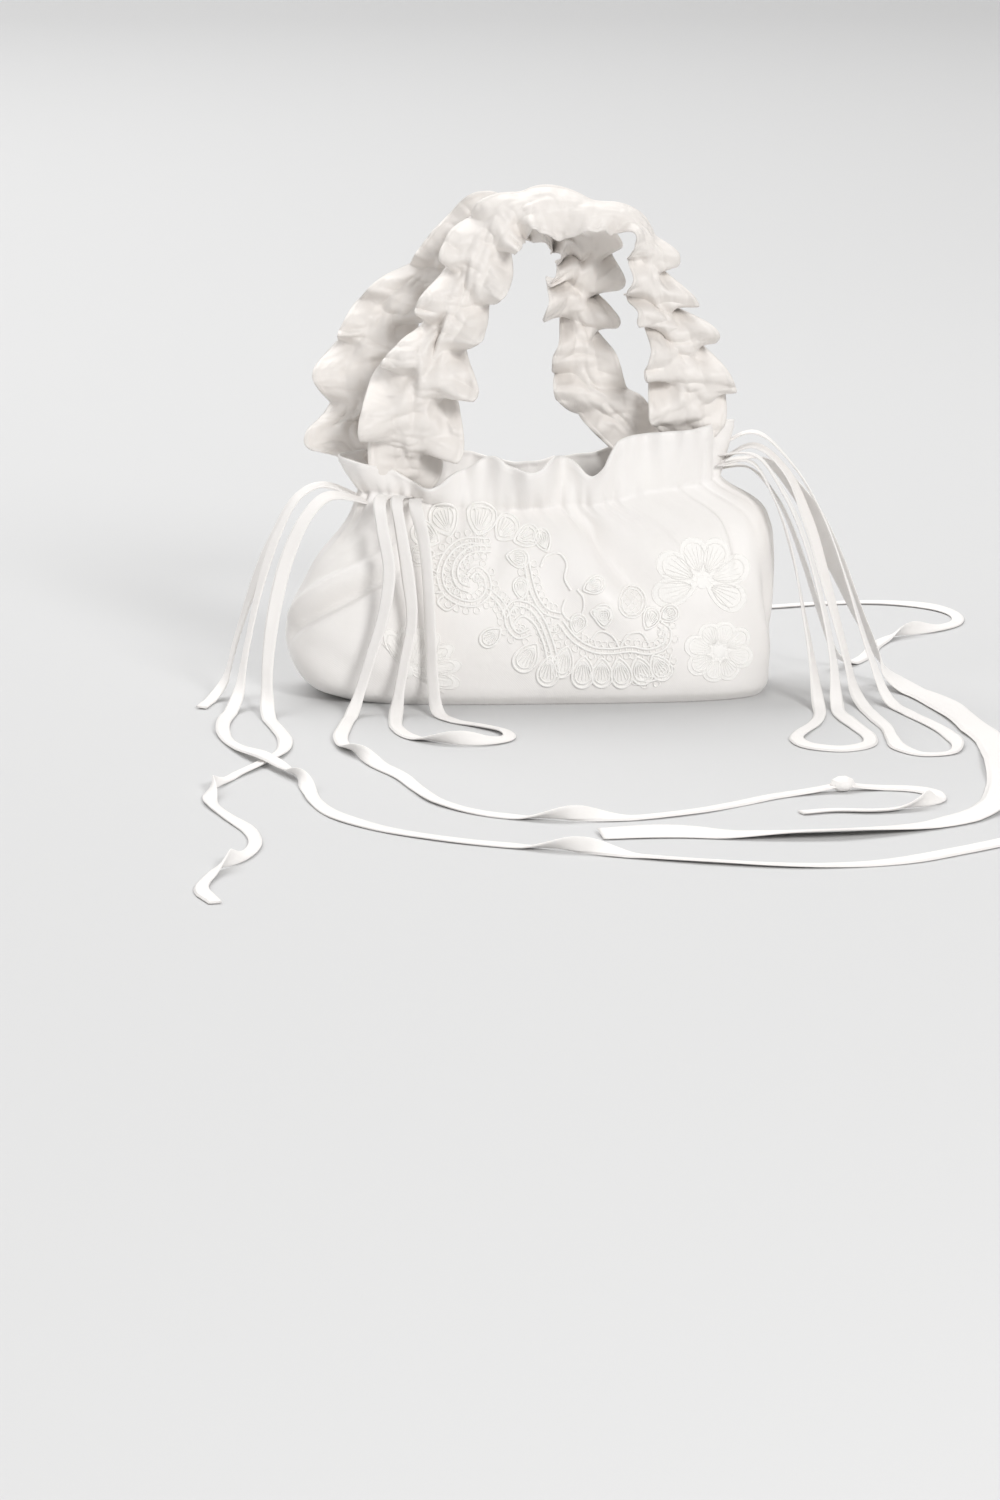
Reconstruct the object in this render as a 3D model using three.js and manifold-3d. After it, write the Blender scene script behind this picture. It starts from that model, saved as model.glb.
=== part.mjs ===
// A small gathered handbag of ivory satin: a soft pouch with a drawn-in, frilled mouth, two ruched
// and frilled handles, pierced lace sewn to its face, and long flat ties that trail on the surface.
// Millimetres, +X to the bag's right as seen from its front, -Y towards the front, +Z up. The origin
// is the centre of the flat base.

import * as THREE from "three";
import { mergeVertices } from "three/addons/utils/BufferGeometryUtils.js";
import Module from "manifold-3d";

const wasm = await Module();
wasm.setup();

// Driving sizes of the pouch.
const BASE_LENGTH = 232;
const BASE_DEPTH = 104;
const CASING_HEIGHT = 111;
const MOUTH_LENGTH = 200;
const MOUTH_GAP = 48;
const MOUTH_SHIFT = -7;
const FRILL_HEIGHT = 24;
const FRILL_RUFFLE = 6;
const FRILL_FLARE = 12;
const FRILL_WAVES = 10;
const POUCH_CLOTH = 1.6;
const BASE_ROUNDING = 3;

// Driving sizes of the handles, both of which rise from inside the mouth.
const HANDLE_TOP = 262;
const HANDLE_SPAN = 170;
const HANDLE_SPREAD = 19;
const STRAP_CLOTH = 1.8;
const STRAP_RUFFLE = 7.5;
const STRAP_BOW = 8;

// How a ruffle's fold runs, as shares of its depth: what it keeps at the strap's middle, how far its
// rim reaches out and slips along, the power of its growth to the rim, and how many waves the inner
// rim lags behind the outer.
const RUFFLE_MIDDLE = 0.12;
const RUFFLE_REACH = 0.45;
const RUFFLE_SLIP = 0.3;
const RUFFLE_RIM = 1.5;
const RUFFLE_LAG = 0.32;

// Driving sizes of the lace and the ties.
const LACE_THICKNESS = 1.4;
const LACE_GAP = 0.75;
const LACE_CORD = 2.8;
const LACE_LOOP = 8;
const LACE_PATCH = 25;
const LACE_PATCH_GAP = 1.3;
const LACE_PATCH_THICKNESS = 0.8;
const TIE_WIDTH = 8;
const SASH_WIDTH = 20;
const TIE_THICKNESS = 1.5;
const TIE_STEP = 38;
const KNOT_LENGTH = 13;
const KNOT_WIDTH = 10;
const KNOT_HEIGHT = 8;
const KNOT_TURN = 0.3;
const KNOT_PLACE = [125, -291.5, KNOT_HEIGHT / 2 + 0.05];

// The gap that separate pieces keep, and how finely the solids are faceted.
const CLEARANCE = 0.4;
const AROUND = 56;
const STRAP_STATIONS = 56;
const STRAP_ACROSS = 6;

const SATIN = new THREE.MeshStandardMaterial({ color: 0xf3efe9, roughness: 0.5, metalness: 0 });
const LACE = new THREE.MeshStandardMaterial({ color: 0xf6f2ec, roughness: 0.8, metalness: 0 });
const TAPE = new THREE.MeshStandardMaterial({ color: 0xf2ece3, roughness: 0.75, metalness: 0 });

// Sections of the pouch from its base to its casing. height is a share of CASING_HEIGHT. left, right
// and deep are shares of half the base's sides, drawn says how far the section has been pulled in
// from that outline to the mouth's, and square is the outline's superellipse power.
const POUCH_SECTIONS = [
  { height: 0.0, left: 1.01, right: 0.985, deep: 0.92, drawn: 0, square: 3.6 },
  { height: 0.05, left: 1.14, right: 1.015, deep: 1.02, drawn: 0, square: 3.7 },
  { height: 0.14, left: 1.22, right: 1.025, deep: 1.06, drawn: 0, square: 3.6 },
  { height: 0.26, left: 1.26, right: 1.03, deep: 1.08, drawn: 0, square: 3.4 },
  { height: 0.4, left: 1.24, right: 1.03, deep: 1.07, drawn: 0, square: 3.3 },
  { height: 0.54, left: 1.18, right: 1.035, deep: 1.04, drawn: 0.03, square: 3.2 },
  { height: 0.68, left: 1.13, right: 1.07, deep: 1.0, drawn: 0.14, square: 3.0 },
  { height: 0.8, left: 1.06, right: 1.14, deep: 0.96, drawn: 0.34, square: 2.8 },
  { height: 0.91, left: 1.0, right: 1.22, deep: 0.94, drawn: 0.66, square: 2.5 },
  { height: 1.0, left: 1.0, right: 1.0, deep: 0.9, drawn: 1.0, square: 2.3 },
];

// The frill above the casing. rise is a share of FRILL_HEIGHT, flare of FRILL_FLARE and ruffle of
// FRILL_RUFFLE.
const FRILL_SECTIONS = [
  { rise: 0.2, flare: 0.22, ruffle: 0.25 },
  { rise: 0.58, flare: 0.4, ruffle: 0.7 },
  { rise: 1.0, flare: 0.5, ruffle: 1.0 },
];

// How the casing and the frill change round the mouth. turn is the share of a full turn from the
// right end by way of the back. lift is a share of CASING_HEIGHT, tall of FRILL_HEIGHT and out of
// the frill's flare.
const MOUTH_LINE = [
  { turn: 0.0, lift: 0.06, tall: 1.25, out: 0.8 },
  { turn: 0.08, lift: 0.03, tall: 1.15, out: 0.3 },
  { turn: 0.17, lift: -0.04, tall: 0.95, out: 0.5 },
  { turn: 0.26, lift: -0.09, tall: 0.9, out: 0.6 },
  { turn: 0.36, lift: -0.04, tall: 0.95, out: 0.6 },
  { turn: 0.45, lift: 0.01, tall: 0.9, out: 0.7 },
  { turn: 0.51, lift: 0.0, tall: 0.8, out: 0.8 },
  { turn: 0.56, lift: 0.0, tall: 0.55, out: 0.5 },
  { turn: 0.585, lift: -0.02, tall: 0.45, out: 0.4 },
  { turn: 0.62, lift: -0.06, tall: 0.35, out: 0.4 },
  { turn: 0.655, lift: -0.07, tall: 0.6, out: 0.4 },
  { turn: 0.69, lift: -0.07, tall: 1.05, out: 0.5 },
  { turn: 0.73, lift: -0.07, tall: 0.82, out: 0.6 },
  { turn: 0.78, lift: -0.06, tall: 1.0, out: 0.5 },
  { turn: 0.815, lift: -0.05, tall: 0.8, out: 0.3 },
  { turn: 0.845, lift: -0.03, tall: 1.3, out: 0.1 },
  { turn: 0.88, lift: 0.0, tall: 1.3, out: 0.1 },
  { turn: 0.94, lift: 0.03, tall: 1.3, out: 0.2 },
];

// Folds in the pouch's wall, each a valley between two places. turn is as above, height a share of
// CASING_HEIGHT, wide a share of BASE_DEPTH and deep a share of BASE_DEPTH.
const POUCH_FOLDS = [
  { fromTurn: 0.6, fromHeight: 0.6, toTurn: 0.53, toHeight: 0.42, wide: 0.09, deep: 0.075 },
  { fromTurn: 0.8, fromHeight: 0.86, toTurn: 0.875, toHeight: 0.52, wide: 0.11, deep: 0.06 },
  { fromTurn: 0.68, fromHeight: 0.88, toTurn: 0.7, toHeight: 0.6, wide: 0.08, deep: 0.03 },
  { fromTurn: 0.92, fromHeight: 0.95, toTurn: 0.925, toHeight: 0.6, wide: 0.06, deep: 0.04 },
  { fromTurn: 0.3, fromHeight: 0.9, toTurn: 0.24, toHeight: 0.5, wide: 0.1, deep: 0.06 },
  { fromTurn: 0.14, fromHeight: 0.85, toTurn: 0.18, toHeight: 0.45, wide: 0.1, deep: 0.05 },
  { fromTurn: 0.03, fromHeight: 0.85, toTurn: 0.985, toHeight: 0.35, wide: 0.08, deep: 0.05 },
];

// Stations along each handle, from its left end to its right end. outer and inner give the places of
// the strap's two edges: across is a share of half of HANDLE_SPAN, up a share of the way from the
// casing to HANDLE_TOP, and back a share of HANDLE_SPREAD. bow is how far the strap's middle stands out
// between its edges, a share of STRAP_BOW, the ruffles are shares of STRAP_RUFFLE, and waves counts the
// frill's waves so far.
const STATION = [
  "outerAcross", "outerUp", "outerBack", "innerAcross", "innerUp", "innerBack",
  "bow", "outerRuffle", "innerRuffle", "waves",
];
const HANDLE_FRONT = [
  [-1.12, -0.01, -0.32, -0.91, -0.01, -0.42, 0, 0.1, 0.1, 0],
  [-1.16, 0.08, -0.63, -0.79, 0.07, -0.63, 0, 0.4, 0.5, 0.3],
  [-1.22, 0.18, -1.05, -0.67, 0.18, -0.95, 0.2, 0.8, 0.9, 0.8],
  [-1.23, 0.31, -1.37, -0.59, 0.29, -1.37, 0.3, 1.1, 1.2, 1.35],
  [-1.15, 0.45, -1.47, -0.53, 0.39, -1.58, 0.4, 1.2, 1.3, 1.9],
  [-0.99, 0.55, -1.26, -0.54, 0.51, -1.58, 0.4, 1.1, 1.2, 2.45],
  [-0.87, 0.65, -1.16, -0.46, 0.6, -1.58, 0.3, 1.1, 1.1, 2.95],
  [-0.79, 0.76, -1.16, -0.37, 0.69, -1.58, 0.3, 1.1, 1.1, 3.45],
  [-0.71, 0.88, -1.16, -0.31, 0.76, -1.58, 0.3, 1, 1.1, 4],
  [-0.61, 0.99, -1.05, -0.25, 0.86, -1.58, 0.4, 0.7, 1.1, 4.6],
  [-0.43, 1.055, -0.84, -0.21, 0.92, -1.58, 0.6, 0.4, 1, 5.2],
  [-0.19, 1.095, -0.74, -0.11, 0.94, -1.58, 0.8, 0.25, 0.7, 5.8],
  [0.04, 1.095, -0.74, 0.03, 0.93, -1.58, 0.8, 0.25, 0.5, 6.35],
  [0.27, 1.055, -0.74, 0.22, 0.94, -1.58, 0.8, 0.25, 0.5, 6.85],
  [0.51, 1.0, -0.74, 0.38, 0.95, -1.47, 0.7, 0.3, 0.5, 7.4],
  [0.67, 0.92, -0.74, 0.48, 0.9, -1.37, 0.5, 0.4, 0.6, 7.9],
  [0.76, 0.83, -0.74, 0.47, 0.81, -1.37, 0.4, 0.6, 0.7, 8.45],
  [0.82, 0.72, -0.68, 0.46, 0.72, -1.32, 0.3, 0.9, 0.8, 9.1],
  [0.92, 0.63, -0.63, 0.52, 0.63, -1.26, 0.3, 1.1, 0.9, 9.75],
  [1, 0.54, -0.63, 0.57, 0.53, -1.16, 0.3, 1.2, 0.9, 10.4],
  [1.09, 0.44, -0.63, 0.59, 0.42, -1.05, 0.3, 1.2, 0.9, 11.05],
  [1.16, 0.34, -0.53, 0.59, 0.32, -0.84, 0.3, 0.9, 0.8, 11.7],
  [1.1, 0.25, -0.32, 0.66, 0.24, -0.53, 0.2, 0.5, 0.5, 12.2],
  [1, 0.17, -0.21, 0.75, 0.16, -0.32, 0, 0.2, 0.2, 12.6],
  [0.98, 0.11, -0.16, 0.8, 0.1, -0.21, 0, 0.1, 0.1, 12.9],
].map(station);
const HANDLE_BACK = [
  [-1.17, -0, 0.16, -1, -0, 0.11, 0, 0.1, 0.1, 0],
  [-1.23, 0.04, 0.32, -1.01, 0.06, 0.26, 0, 0.3, 0.3, 0.3],
  [-1.41, 0.1, 0.58, -1.05, 0.13, 0.47, 0.2, 0.8, 0.8, 0.85],
  [-1.55, 0.19, 0.74, -1.09, 0.22, 0.63, 0.3, 1.1, 1, 1.4],
  [-1.47, 0.29, 0.89, -1.06, 0.31, 0.74, 0.3, 1.1, 1, 1.95],
  [-1.45, 0.41, 1.05, -1.02, 0.42, 0.89, 0.3, 1.2, 1.1, 2.5],
  [-1.36, 0.55, 1.16, -0.96, 0.53, 1.05, 0.3, 1.1, 1.1, 3.1],
  [-1.26, 0.66, 1.16, -0.87, 0.61, 1.05, 0.3, 1, 1, 3.65],
  [-1.08, 0.75, 1.21, -0.74, 0.67, 1.05, 0.3, 1, 1, 4.2],
  [-0.87, 0.83, 1.26, -0.58, 0.75, 1.05, 0.3, 1, 1, 4.75],
  [-0.73, 0.93, 1.26, -0.45, 0.82, 1, 0.3, 1, 1, 5.3],
  [-0.58, 1.02, 1.32, -0.3, 0.88, 0.95, 0.4, 0.8, 0.9, 5.85],
  [-0.37, 1.06, 1.32, -0.13, 0.89, 0.89, 0.4, 0.5, 0.8, 6.4],
  [-0.11, 1.05, 1.32, -0.01, 0.86, 0.84, 0.4, 0.4, 0.8, 6.95],
  [0.16, 1.01, 1.26, 0.04, 0.83, 0.84, 0.4, 0.5, 1, 7.5],
  [0.37, 0.93, 1.21, 0.04, 0.79, 0.95, 0.3, 0.7, 1.1, 8.1],
  [0.46, 0.84, 1.16, 0, 0.74, 0.95, 0.3, 0.9, 1.2, 8.75],
  [0.42, 0.74, 1.16, -0.04, 0.69, 0.89, 0.3, 1, 1.2, 9.4],
  [0.38, 0.65, 1.05, -0.02, 0.62, 0.84, 0.3, 1, 1.2, 10.05],
  [0.39, 0.56, 1, 0.05, 0.55, 0.84, 0.3, 1, 1, 10.65],
  [0.41, 0.46, 0.89, 0.02, 0.46, 0.74, 0.3, 0.8, 0.8, 11.2],
  [0.48, 0.37, 0.74, 0, 0.36, 0.63, 0.4, 0.6, 0.6, 11.7],
  [0.58, 0.32, 0.58, 0.11, 0.28, 0.47, 0.4, 0.4, 0.5, 12.2],
  [0.67, 0.25, 0.42, 0.27, 0.2, 0.37, 0.3, 0.3, 0.3, 12.6],
  [0.72, 0.18, 0.26, 0.38, 0.14, 0.26, 0.1, 0.15, 0.15, 12.9],
  [0.76, 0.12, 0.16, 0.5, 0.09, 0.16, 0, 0.1, 0.1, 13.1],
].map(station);

// The ties' routes in millimetres, chosen by hand: each comes out of the casing, falls past the
// pouch and lies on the surface.
const TIE_ROUTES = {
  tie_left_outer: [
    [-103, -3, 105], [-126, -8, 115], [-139, -12, 109], [-151, -18, 89], [-161, -25, 61],
    [-168, -34, 32], [-173, -48, 9], [-178, -70, 1], [-182, -102, 1], [-181, -136, 1],
    [-174, -170, 2], [-162, -204, 4.5], [-150, -236, 3], [-142, -270, 1], [-138, -306, 1],
    [-128, -342, 1], [-106, -374, 1], [-74, -400, 1], [-36, -420, 1], [4, -438, 1],
    [46, -456, 1], [90, -466, 1], [132, -460, 1], [164, -440, 1], [190, -420, 1],
  ],
  tie_left_inner: [
    [-98, -6, 105], [-123, -20, 111], [-135, -27, 101], [-146, -34, 79], [-153, -41, 53],
    [-157, -52, 27], [-158, -67, 7], [-157, -88, 1], [-153, -116, 1], [-150, -146, 1],
    [-153, -178, 1], [-164, -208, 1], [-178, -238, 1], [-188, -270, 1], [-190, -304, 1],
    [-182, -338, 1], [-172, -372, 1], [-170, -406, 1], [-178, -438, 1], [-190, -468, 1],
    [-196, -500, 1], [-190, -528, 1],
  ],
  tie_left_short: [
    [-102, 4, 105], [-126, 10, 113], [-140, 10, 106], [-153, 6, 84], [-164, 1, 58],
    [-173, -6, 32], [-180, -16, 10], [-188, -32, 1.5], [-193, -52, 1],
  ],
  tie_front_outer: [
    [-87, -10, 109], [-96, -41, 111], [-95, -54, 97], [-92, -62, 77], [-95, -65, 54],
    [-102, -66, 31], [-109, -70, 10], [-114, -86, 1], [-118, -114, 1], [-121, -146, 1],
    [-117, -180, 1], [-106, -212, 1], [-94, -244, 1], [-86, -278, 1], [-76, -312, 1],
    [-54, -340, 1], [-22, -355, 1], [12, -354, 1], [44, -341, 1], [70, -322, 1], [94, -303, 1],
    [112, -295, 2], [125, -291.5, 4],
  ],
  tie_front_end: [
    [125, -291.5, 4], [136, -289, 2], [149, -289, 1], [163, -295, 1], [170, -309, 1],
    [167, -325, 1], [153, -338, 1], [134, -344, 1], [115, -341, 1], [98, -346, 1],
  ],
  tie_front_loop: [
    [-80, -12, 109], [-87, -42, 111], [-85, -55, 95], [-82, -62, 74], [-80, -65, 50],
    [-84, -66, 28], [-88, -72, 8], [-90, -90, 1], [-90, -116, 1], [-84, -140, 1], [-68, -158, 1],
    [-48, -162, 1], [-34, -150, 1], [-34, -130, 1], [-46, -112, 1], [-60, -96, 1], [-67, -80, 3],
    [-69, -67, 20], [-70, -64, 44], [-71, -63, 68], [-73, -56, 92], [-77, -44, 109],
    [-74, -14, 108],
  ],
  tie_right_inner_loop: [
    [90, -8, 124], [107, -16, 127], [119, -25, 108], [128, -32, 80], [134, -41, 48],
    [138, -53, 20], [139, -70, 3.5], [137, -93, 1], [131, -117, 1], [122, -139, 1],
    [117, -160, 1], [122, -180, 1], [138, -188, 1], [152, -177, 1], [156, -154, 1],
    [153, -130, 1], [150, -110, 1], [148, -90, 1], [149, -70, 4], [149, -52, 24], [144, -40, 54],
    [136, -31, 84], [125, -23, 110], [110, -13, 130], [90, -3, 129],
  ],
  tie_right_outer_loop: [
    [90, 1, 124], [110, -1, 134], [127, -8, 121], [139, -15, 94], [148, -24, 62], [156, -35, 30],
    [161, -51, 7], [164, -76, 1], [166, -104, 1], [168, -132, 1], [167, -160, 1], [168, -186, 1],
    [178, -203, 1], [192, -200, 1], [199, -180, 1], [198, -152, 1], [193, -122, 1],
    [186, -92, 1], [178, -62, 4], [170, -40, 26], [160, -25, 60], [148, -14, 94],
    [131, -6, 124], [111, 2, 141], [89, 5, 132],
  ],
  tie_right_sash: [
    [88, 11, 122], [116, 12, 125], [138, 11, 104], [156, 8, 70], [171, 2, 36], [184, -8, 10],
    [197, -28, 1], [206, -58, 1], [211, -94, 1], [215, -132, 1], [218, -170, 1], [217, -210, 1],
    [213, -250, 1], [207, -290, 1], [197, -328, 1], [178, -360, 1], [148, -384, 1],
    [110, -396, 1], [70, -396, 1], [32, -389, 1], [-4, -392, 1],
  ],
  tie_right_tail: [
    [84, 16, 118], [110, 27, 118], [128, 33, 98], [142, 39, 66], [153, 44, 34], [163, 50, 9],
    [174, 63, 1], [186, 90, 1], [195, 120, 1], [209, 146, 1], [232, 164, 1], [250, 188, 1],
    [254, 218, 1], [242, 246, 1], [216, 262, 1], [184, 264, 1], [154, 254, 1], [126, 246, 1],
  ],
};

// The corded lace on the pouch's front. right and above are its places from LACE_CENTRE and size is
// its radius, all in shares of LACE_LOOP.
const LACE_CENTRE = { across: 0, up: 0.5 };
const LACE_LOOPS = [
  { right: -8.6, above: 4.86, size: 0.95 },
  { right: -6.9, above: 5.27, size: 0.95 },
  { right: -5.3, above: 5, size: 0.9 },
  { right: -8.6, above: 2.64, size: 0.8 },
  { right: -5.4, above: 0.42, size: 0.95 },
  { right: -3.6, above: 0.14, size: 0.85 },
  { right: -2.1, above: 0.69, size: 0.8 },
  { right: -2.2, above: -0.83, size: 0.85 },
  { right: 2.9, above: -0.28, size: 0.95 },
  { right: 4.6, above: -0.55, size: 0.8 },
  { right: 6.2, above: -0.14, size: 1.0 },
  { right: 3.8, above: -2.29, size: 0.95 },
  { right: 5.5, above: -2.08, size: 0.85 },
  { right: 2, above: -3.89, size: 0.85 },
  { right: 3.8, above: -4.16, size: 0.9 },
  { right: 5.5, above: -4.16, size: 0.9 },
  { right: 7.2, above: -3.75, size: 0.9 },
];

// Scrolls of the lace. turn is where each begins, sweep how far it winds, both in full turns, and
// close the share of its radius that it loses by its end.
const LACE_SCROLLS = [
  { right: -6.1, above: 2.64, size: 1.88, turn: 0.12, sweep: 1.15, close: 0.72 },
  { right: 0.3, above: -1.11, size: 1.78, turn: 0.02, sweep: 1.28, close: 0.7 },
];

// Thin patches of finer lace. petals and wave shape the rim, tall and wide are shares of LACE_PATCH,
// lean is in full turns, and stand is a share of LACE_PATCH_GAP, more where the wall is more curved.
const LACE_PATCHES = {
  lace_leaf: {
    across: -0.5, up: 0.27, wide: 0.95, tall: 0.62,
    petals: 3, wave: 0.12, lean: -0.06, stand: 0.45,
  },
  lace_flower: {
    across: 0.76, up: 0.25, wide: 0.75, tall: 0.75,
    petals: 5, wave: 0.16, lean: 0.05, stand: 0.75,
  },
  lace_petals: {
    across: 0.7, up: 0.66, wide: 0.85, tall: 0.95,
    petals: 5, wave: 0.2, lean: 0.1, stand: 0.85,
  },
};

// A smooth reading of one column of a table whose rows lie at the places in another column.
function read(rows, key, column, at) {
  const last = rows.length - 1;
  let i = 0;
  while (i < last - 1 && at > rows[i + 1][column]) i++;
  const place = (k) => rows[Math.min(Math.max(k, 0), last)];
  const slope = (k) => {
    const before = place(k - 1);
    const after = place(k + 1);
    return (after[key] - before[key]) / Math.max(after[column] - before[column], 1e-9);
  };
  const [a, b] = [rows[i], rows[i + 1]];
  const span = b[column] - a[column];
  const t = THREE.MathUtils.clamp((at - a[column]) / span, 0, 1);
  const [t2, t3] = [t * t, t * t * t];
  return (
    (2 * t3 - 3 * t2 + 1) * a[key] +
    (t3 - 2 * t2 + t) * span * slope(i) +
    (3 * t2 - 2 * t3) * b[key] +
    (t3 - t2) * span * slope(i + 1)
  );
}

// The same for the mouth's table, which closes on itself.
function readRound(key, turn) {
  const rows = MOUTH_LINE;
  const closed = [
    ...rows.slice(-2).map((r) => ({ ...r, turn: r.turn - 1 })),
    ...rows,
    ...rows.slice(0, 2).map((r) => ({ ...r, turn: r.turn + 1 })),
  ];
  return read(closed, key, "turn", turn - Math.floor(turn));
}

// The places round a section's outline, spaced evenly along it, as [across, back] pairs. It starts
// at the right end and runs by way of the back.
function outline(section, count) {
  const mouthLeft = MOUTH_LENGTH / 2 - MOUTH_SHIFT;
  const mouthRight = MOUTH_LENGTH / 2 + MOUTH_SHIFT;
  const pull = (share, base, mouth) => THREE.MathUtils.lerp((share * base) / 2, mouth, section.drawn);
  const left = pull(section.left, BASE_LENGTH, mouthLeft);
  const right = pull(section.right, BASE_LENGTH, mouthRight);
  const deep = pull(section.deep, BASE_DEPTH, MOUTH_GAP / 2);
  const dense = 720;
  const power = 2 / section.square;
  const points = [];
  for (let i = 0; i <= dense; i++) {
    const angle = (2 * Math.PI * i) / dense;
    const [c, s] = [Math.cos(angle), Math.sin(angle)];
    points.push([
      (c > 0 ? right : left) * Math.sign(c) * Math.abs(c) ** power,
      deep * Math.sign(s) * Math.abs(s) ** power,
    ]);
  }
  const along = [0];
  for (let i = 1; i <= dense; i++)
    along.push(along[i - 1] + Math.hypot(points[i][0] - points[i - 1][0], points[i][1] - points[i - 1][1]));
  const places = [];
  for (let k = 0, i = 0; k < count; k++) {
    const want = (along[dense] * k) / count;
    while (along[i + 1] < want) i++;
    const t = (want - along[i]) / (along[i + 1] - along[i]);
    places.push([0, 1].map((j) => THREE.MathUtils.lerp(points[i][j], points[i + 1][j], t)));
  }
  return places;
}

// How far a fold pushes the wall in at one place.
function foldDepth(turn, height) {
  let depth = 0;
  for (const fold of POUCH_FOLDS) {
    const [turns, rises] = [fold.toTurn - fold.fromTurn, fold.toHeight - fold.fromHeight];
    const round = 2 * (BASE_LENGTH + BASE_DEPTH);
    const wrap = (x) => x - Math.round(x);
    const [dx, dz] = [wrap(turns) * round, rises * CASING_HEIGHT];
    const [px, pz] = [wrap(turn - fold.fromTurn) * round, (height - fold.fromHeight) * CASING_HEIGHT];
    const t = THREE.MathUtils.clamp((px * dx + pz * dz) / (dx * dx + dz * dz), 0, 1);
    const away = Math.hypot(px - t * dx, pz - t * dz) / (fold.wide * BASE_DEPTH);
    depth += fold.deep * BASE_DEPTH * Math.exp(-away * away) * Math.sin(Math.PI * (0.15 + 0.7 * t));
  }
  return depth;
}

// The frill's waves: each is a little longer or shorter than the next.
function frillWave(turn) {
  const wander = 0.35 * Math.sin(2 * Math.PI * (2 * turn + 0.1)) + 0.2 * Math.sin(2 * Math.PI * (5 * turn));
  return Math.sin(2 * Math.PI * FRILL_WAVES * turn + wander * 2);
}

// The rows of points on the pouch's outer face, from the base's rim to the frill's edge.
function pouchRows() {
  const turns = Array.from({ length: AROUND }, (_, k) => k / AROUND);
  const rows = POUCH_SECTIONS.map((section) => {
    const places = outline(section, AROUND);
    return turns.map((turn, k) => {
      const lift = readRound("lift", turn) * section.height ** 3;
      const [x, y] = places[k];
      const pushed = foldDepth(turn, section.height) * (section.height > 0 ? 1 : 0);
      const reach = Math.hypot(x, y);
      const inward = 1 - pushed / reach;
      const z = CASING_HEIGHT * (section.height + lift);
      return new THREE.Vector3(x * inward, y * inward, z);
    });
  });
  const casing = rows[rows.length - 1];
  for (const frill of FRILL_SECTIONS)
    rows.push(
      turns.map((turn, k) => {
        const before = casing[(k + AROUND - 1) % AROUND];
        const after = casing[(k + 1) % AROUND];
        const outward = new THREE.Vector3(after.y - before.y, before.x - after.x, 0).normalize();
        const out =
          frill.flare * FRILL_FLARE * readRound("out", turn) +
          frill.ruffle * FRILL_RUFFLE * frillWave(turn);
        const point = casing[k].clone().addScaledVector(outward, out);
        point.z += frill.rise * FRILL_HEIGHT * readRound("tall", turn);
        return point;
      }),
    );
  return rows;
}

// The outward direction at each place of a grid of rows. Rows close on themselves if round is true.
function directions(rows, round) {
  return rows.map((row, i) =>
    row.map((_, k) => {
      const n = row.length;
      const side = (step) => (round ? row[(k + step + n) % n] : row[Math.min(Math.max(k + step, 0), n - 1)]);
      const level = (step) => rows[Math.min(Math.max(i + step, 0), rows.length - 1)][k];
      const along = side(1).clone().sub(side(-1));
      const up = level(1).clone().sub(level(-1));
      return along.cross(up).normalize();
    }),
  );
}

function offset(rows, ways, distance) {
  return rows.map((row, i) => row.map((p, k) => p.clone().addScaledVector(ways[i][k], distance)));
}

// A mesh builder that takes faces by their corners' numbers.
class Faces {
  constructor() {
    this.points = [];
    this.indices = [];
  }

  point(p) {
    return this.points.push(p) - 1;
  }

  add(rows) {
    return rows.map((row) => row.map((p) => this.point(p)));
  }

  triangle(a, b, c) {
    this.indices.push(a, b, c);
  }

  quad(a, b, c, d) {
    this.triangle(a, b, c);
    this.triangle(a, c, d);
  }

  geometry() {
    const geometry = new THREE.BufferGeometry();
    geometry.setAttribute(
      "position",
      new THREE.Float32BufferAttribute(this.points.flatMap((p) => p.toArray()), 3),
    );
    geometry.setIndex(this.indices);
    return geometry;
  }
}

// A solid sheet between two grids of the same shape.
function sheet(front, back) {
  const faces = new Faces();
  const [f, b] = [faces.add(front), faces.add(back)];
  const [last, end] = [front.length - 1, front[0].length - 1];
  for (let i = 0; i < last; i++)
    for (let k = 0; k < end; k++) {
      faces.quad(f[i][k], f[i][k + 1], f[i + 1][k + 1], f[i + 1][k]);
      faces.quad(b[i][k], b[i + 1][k], b[i + 1][k + 1], b[i][k + 1]);
    }
  for (let i = 0; i < last; i++) {
    faces.quad(f[i][0], f[i + 1][0], b[i + 1][0], b[i][0]);
    faces.quad(f[i][end], b[i][end], b[i + 1][end], f[i + 1][end]);
  }
  for (let k = 0; k < end; k++) {
    faces.quad(f[0][k], b[0][k], b[0][k + 1], f[0][k + 1]);
    faces.quad(f[last][k], f[last][k + 1], b[last][k + 1], b[last][k]);
  }
  return faces.geometry();
}

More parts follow.
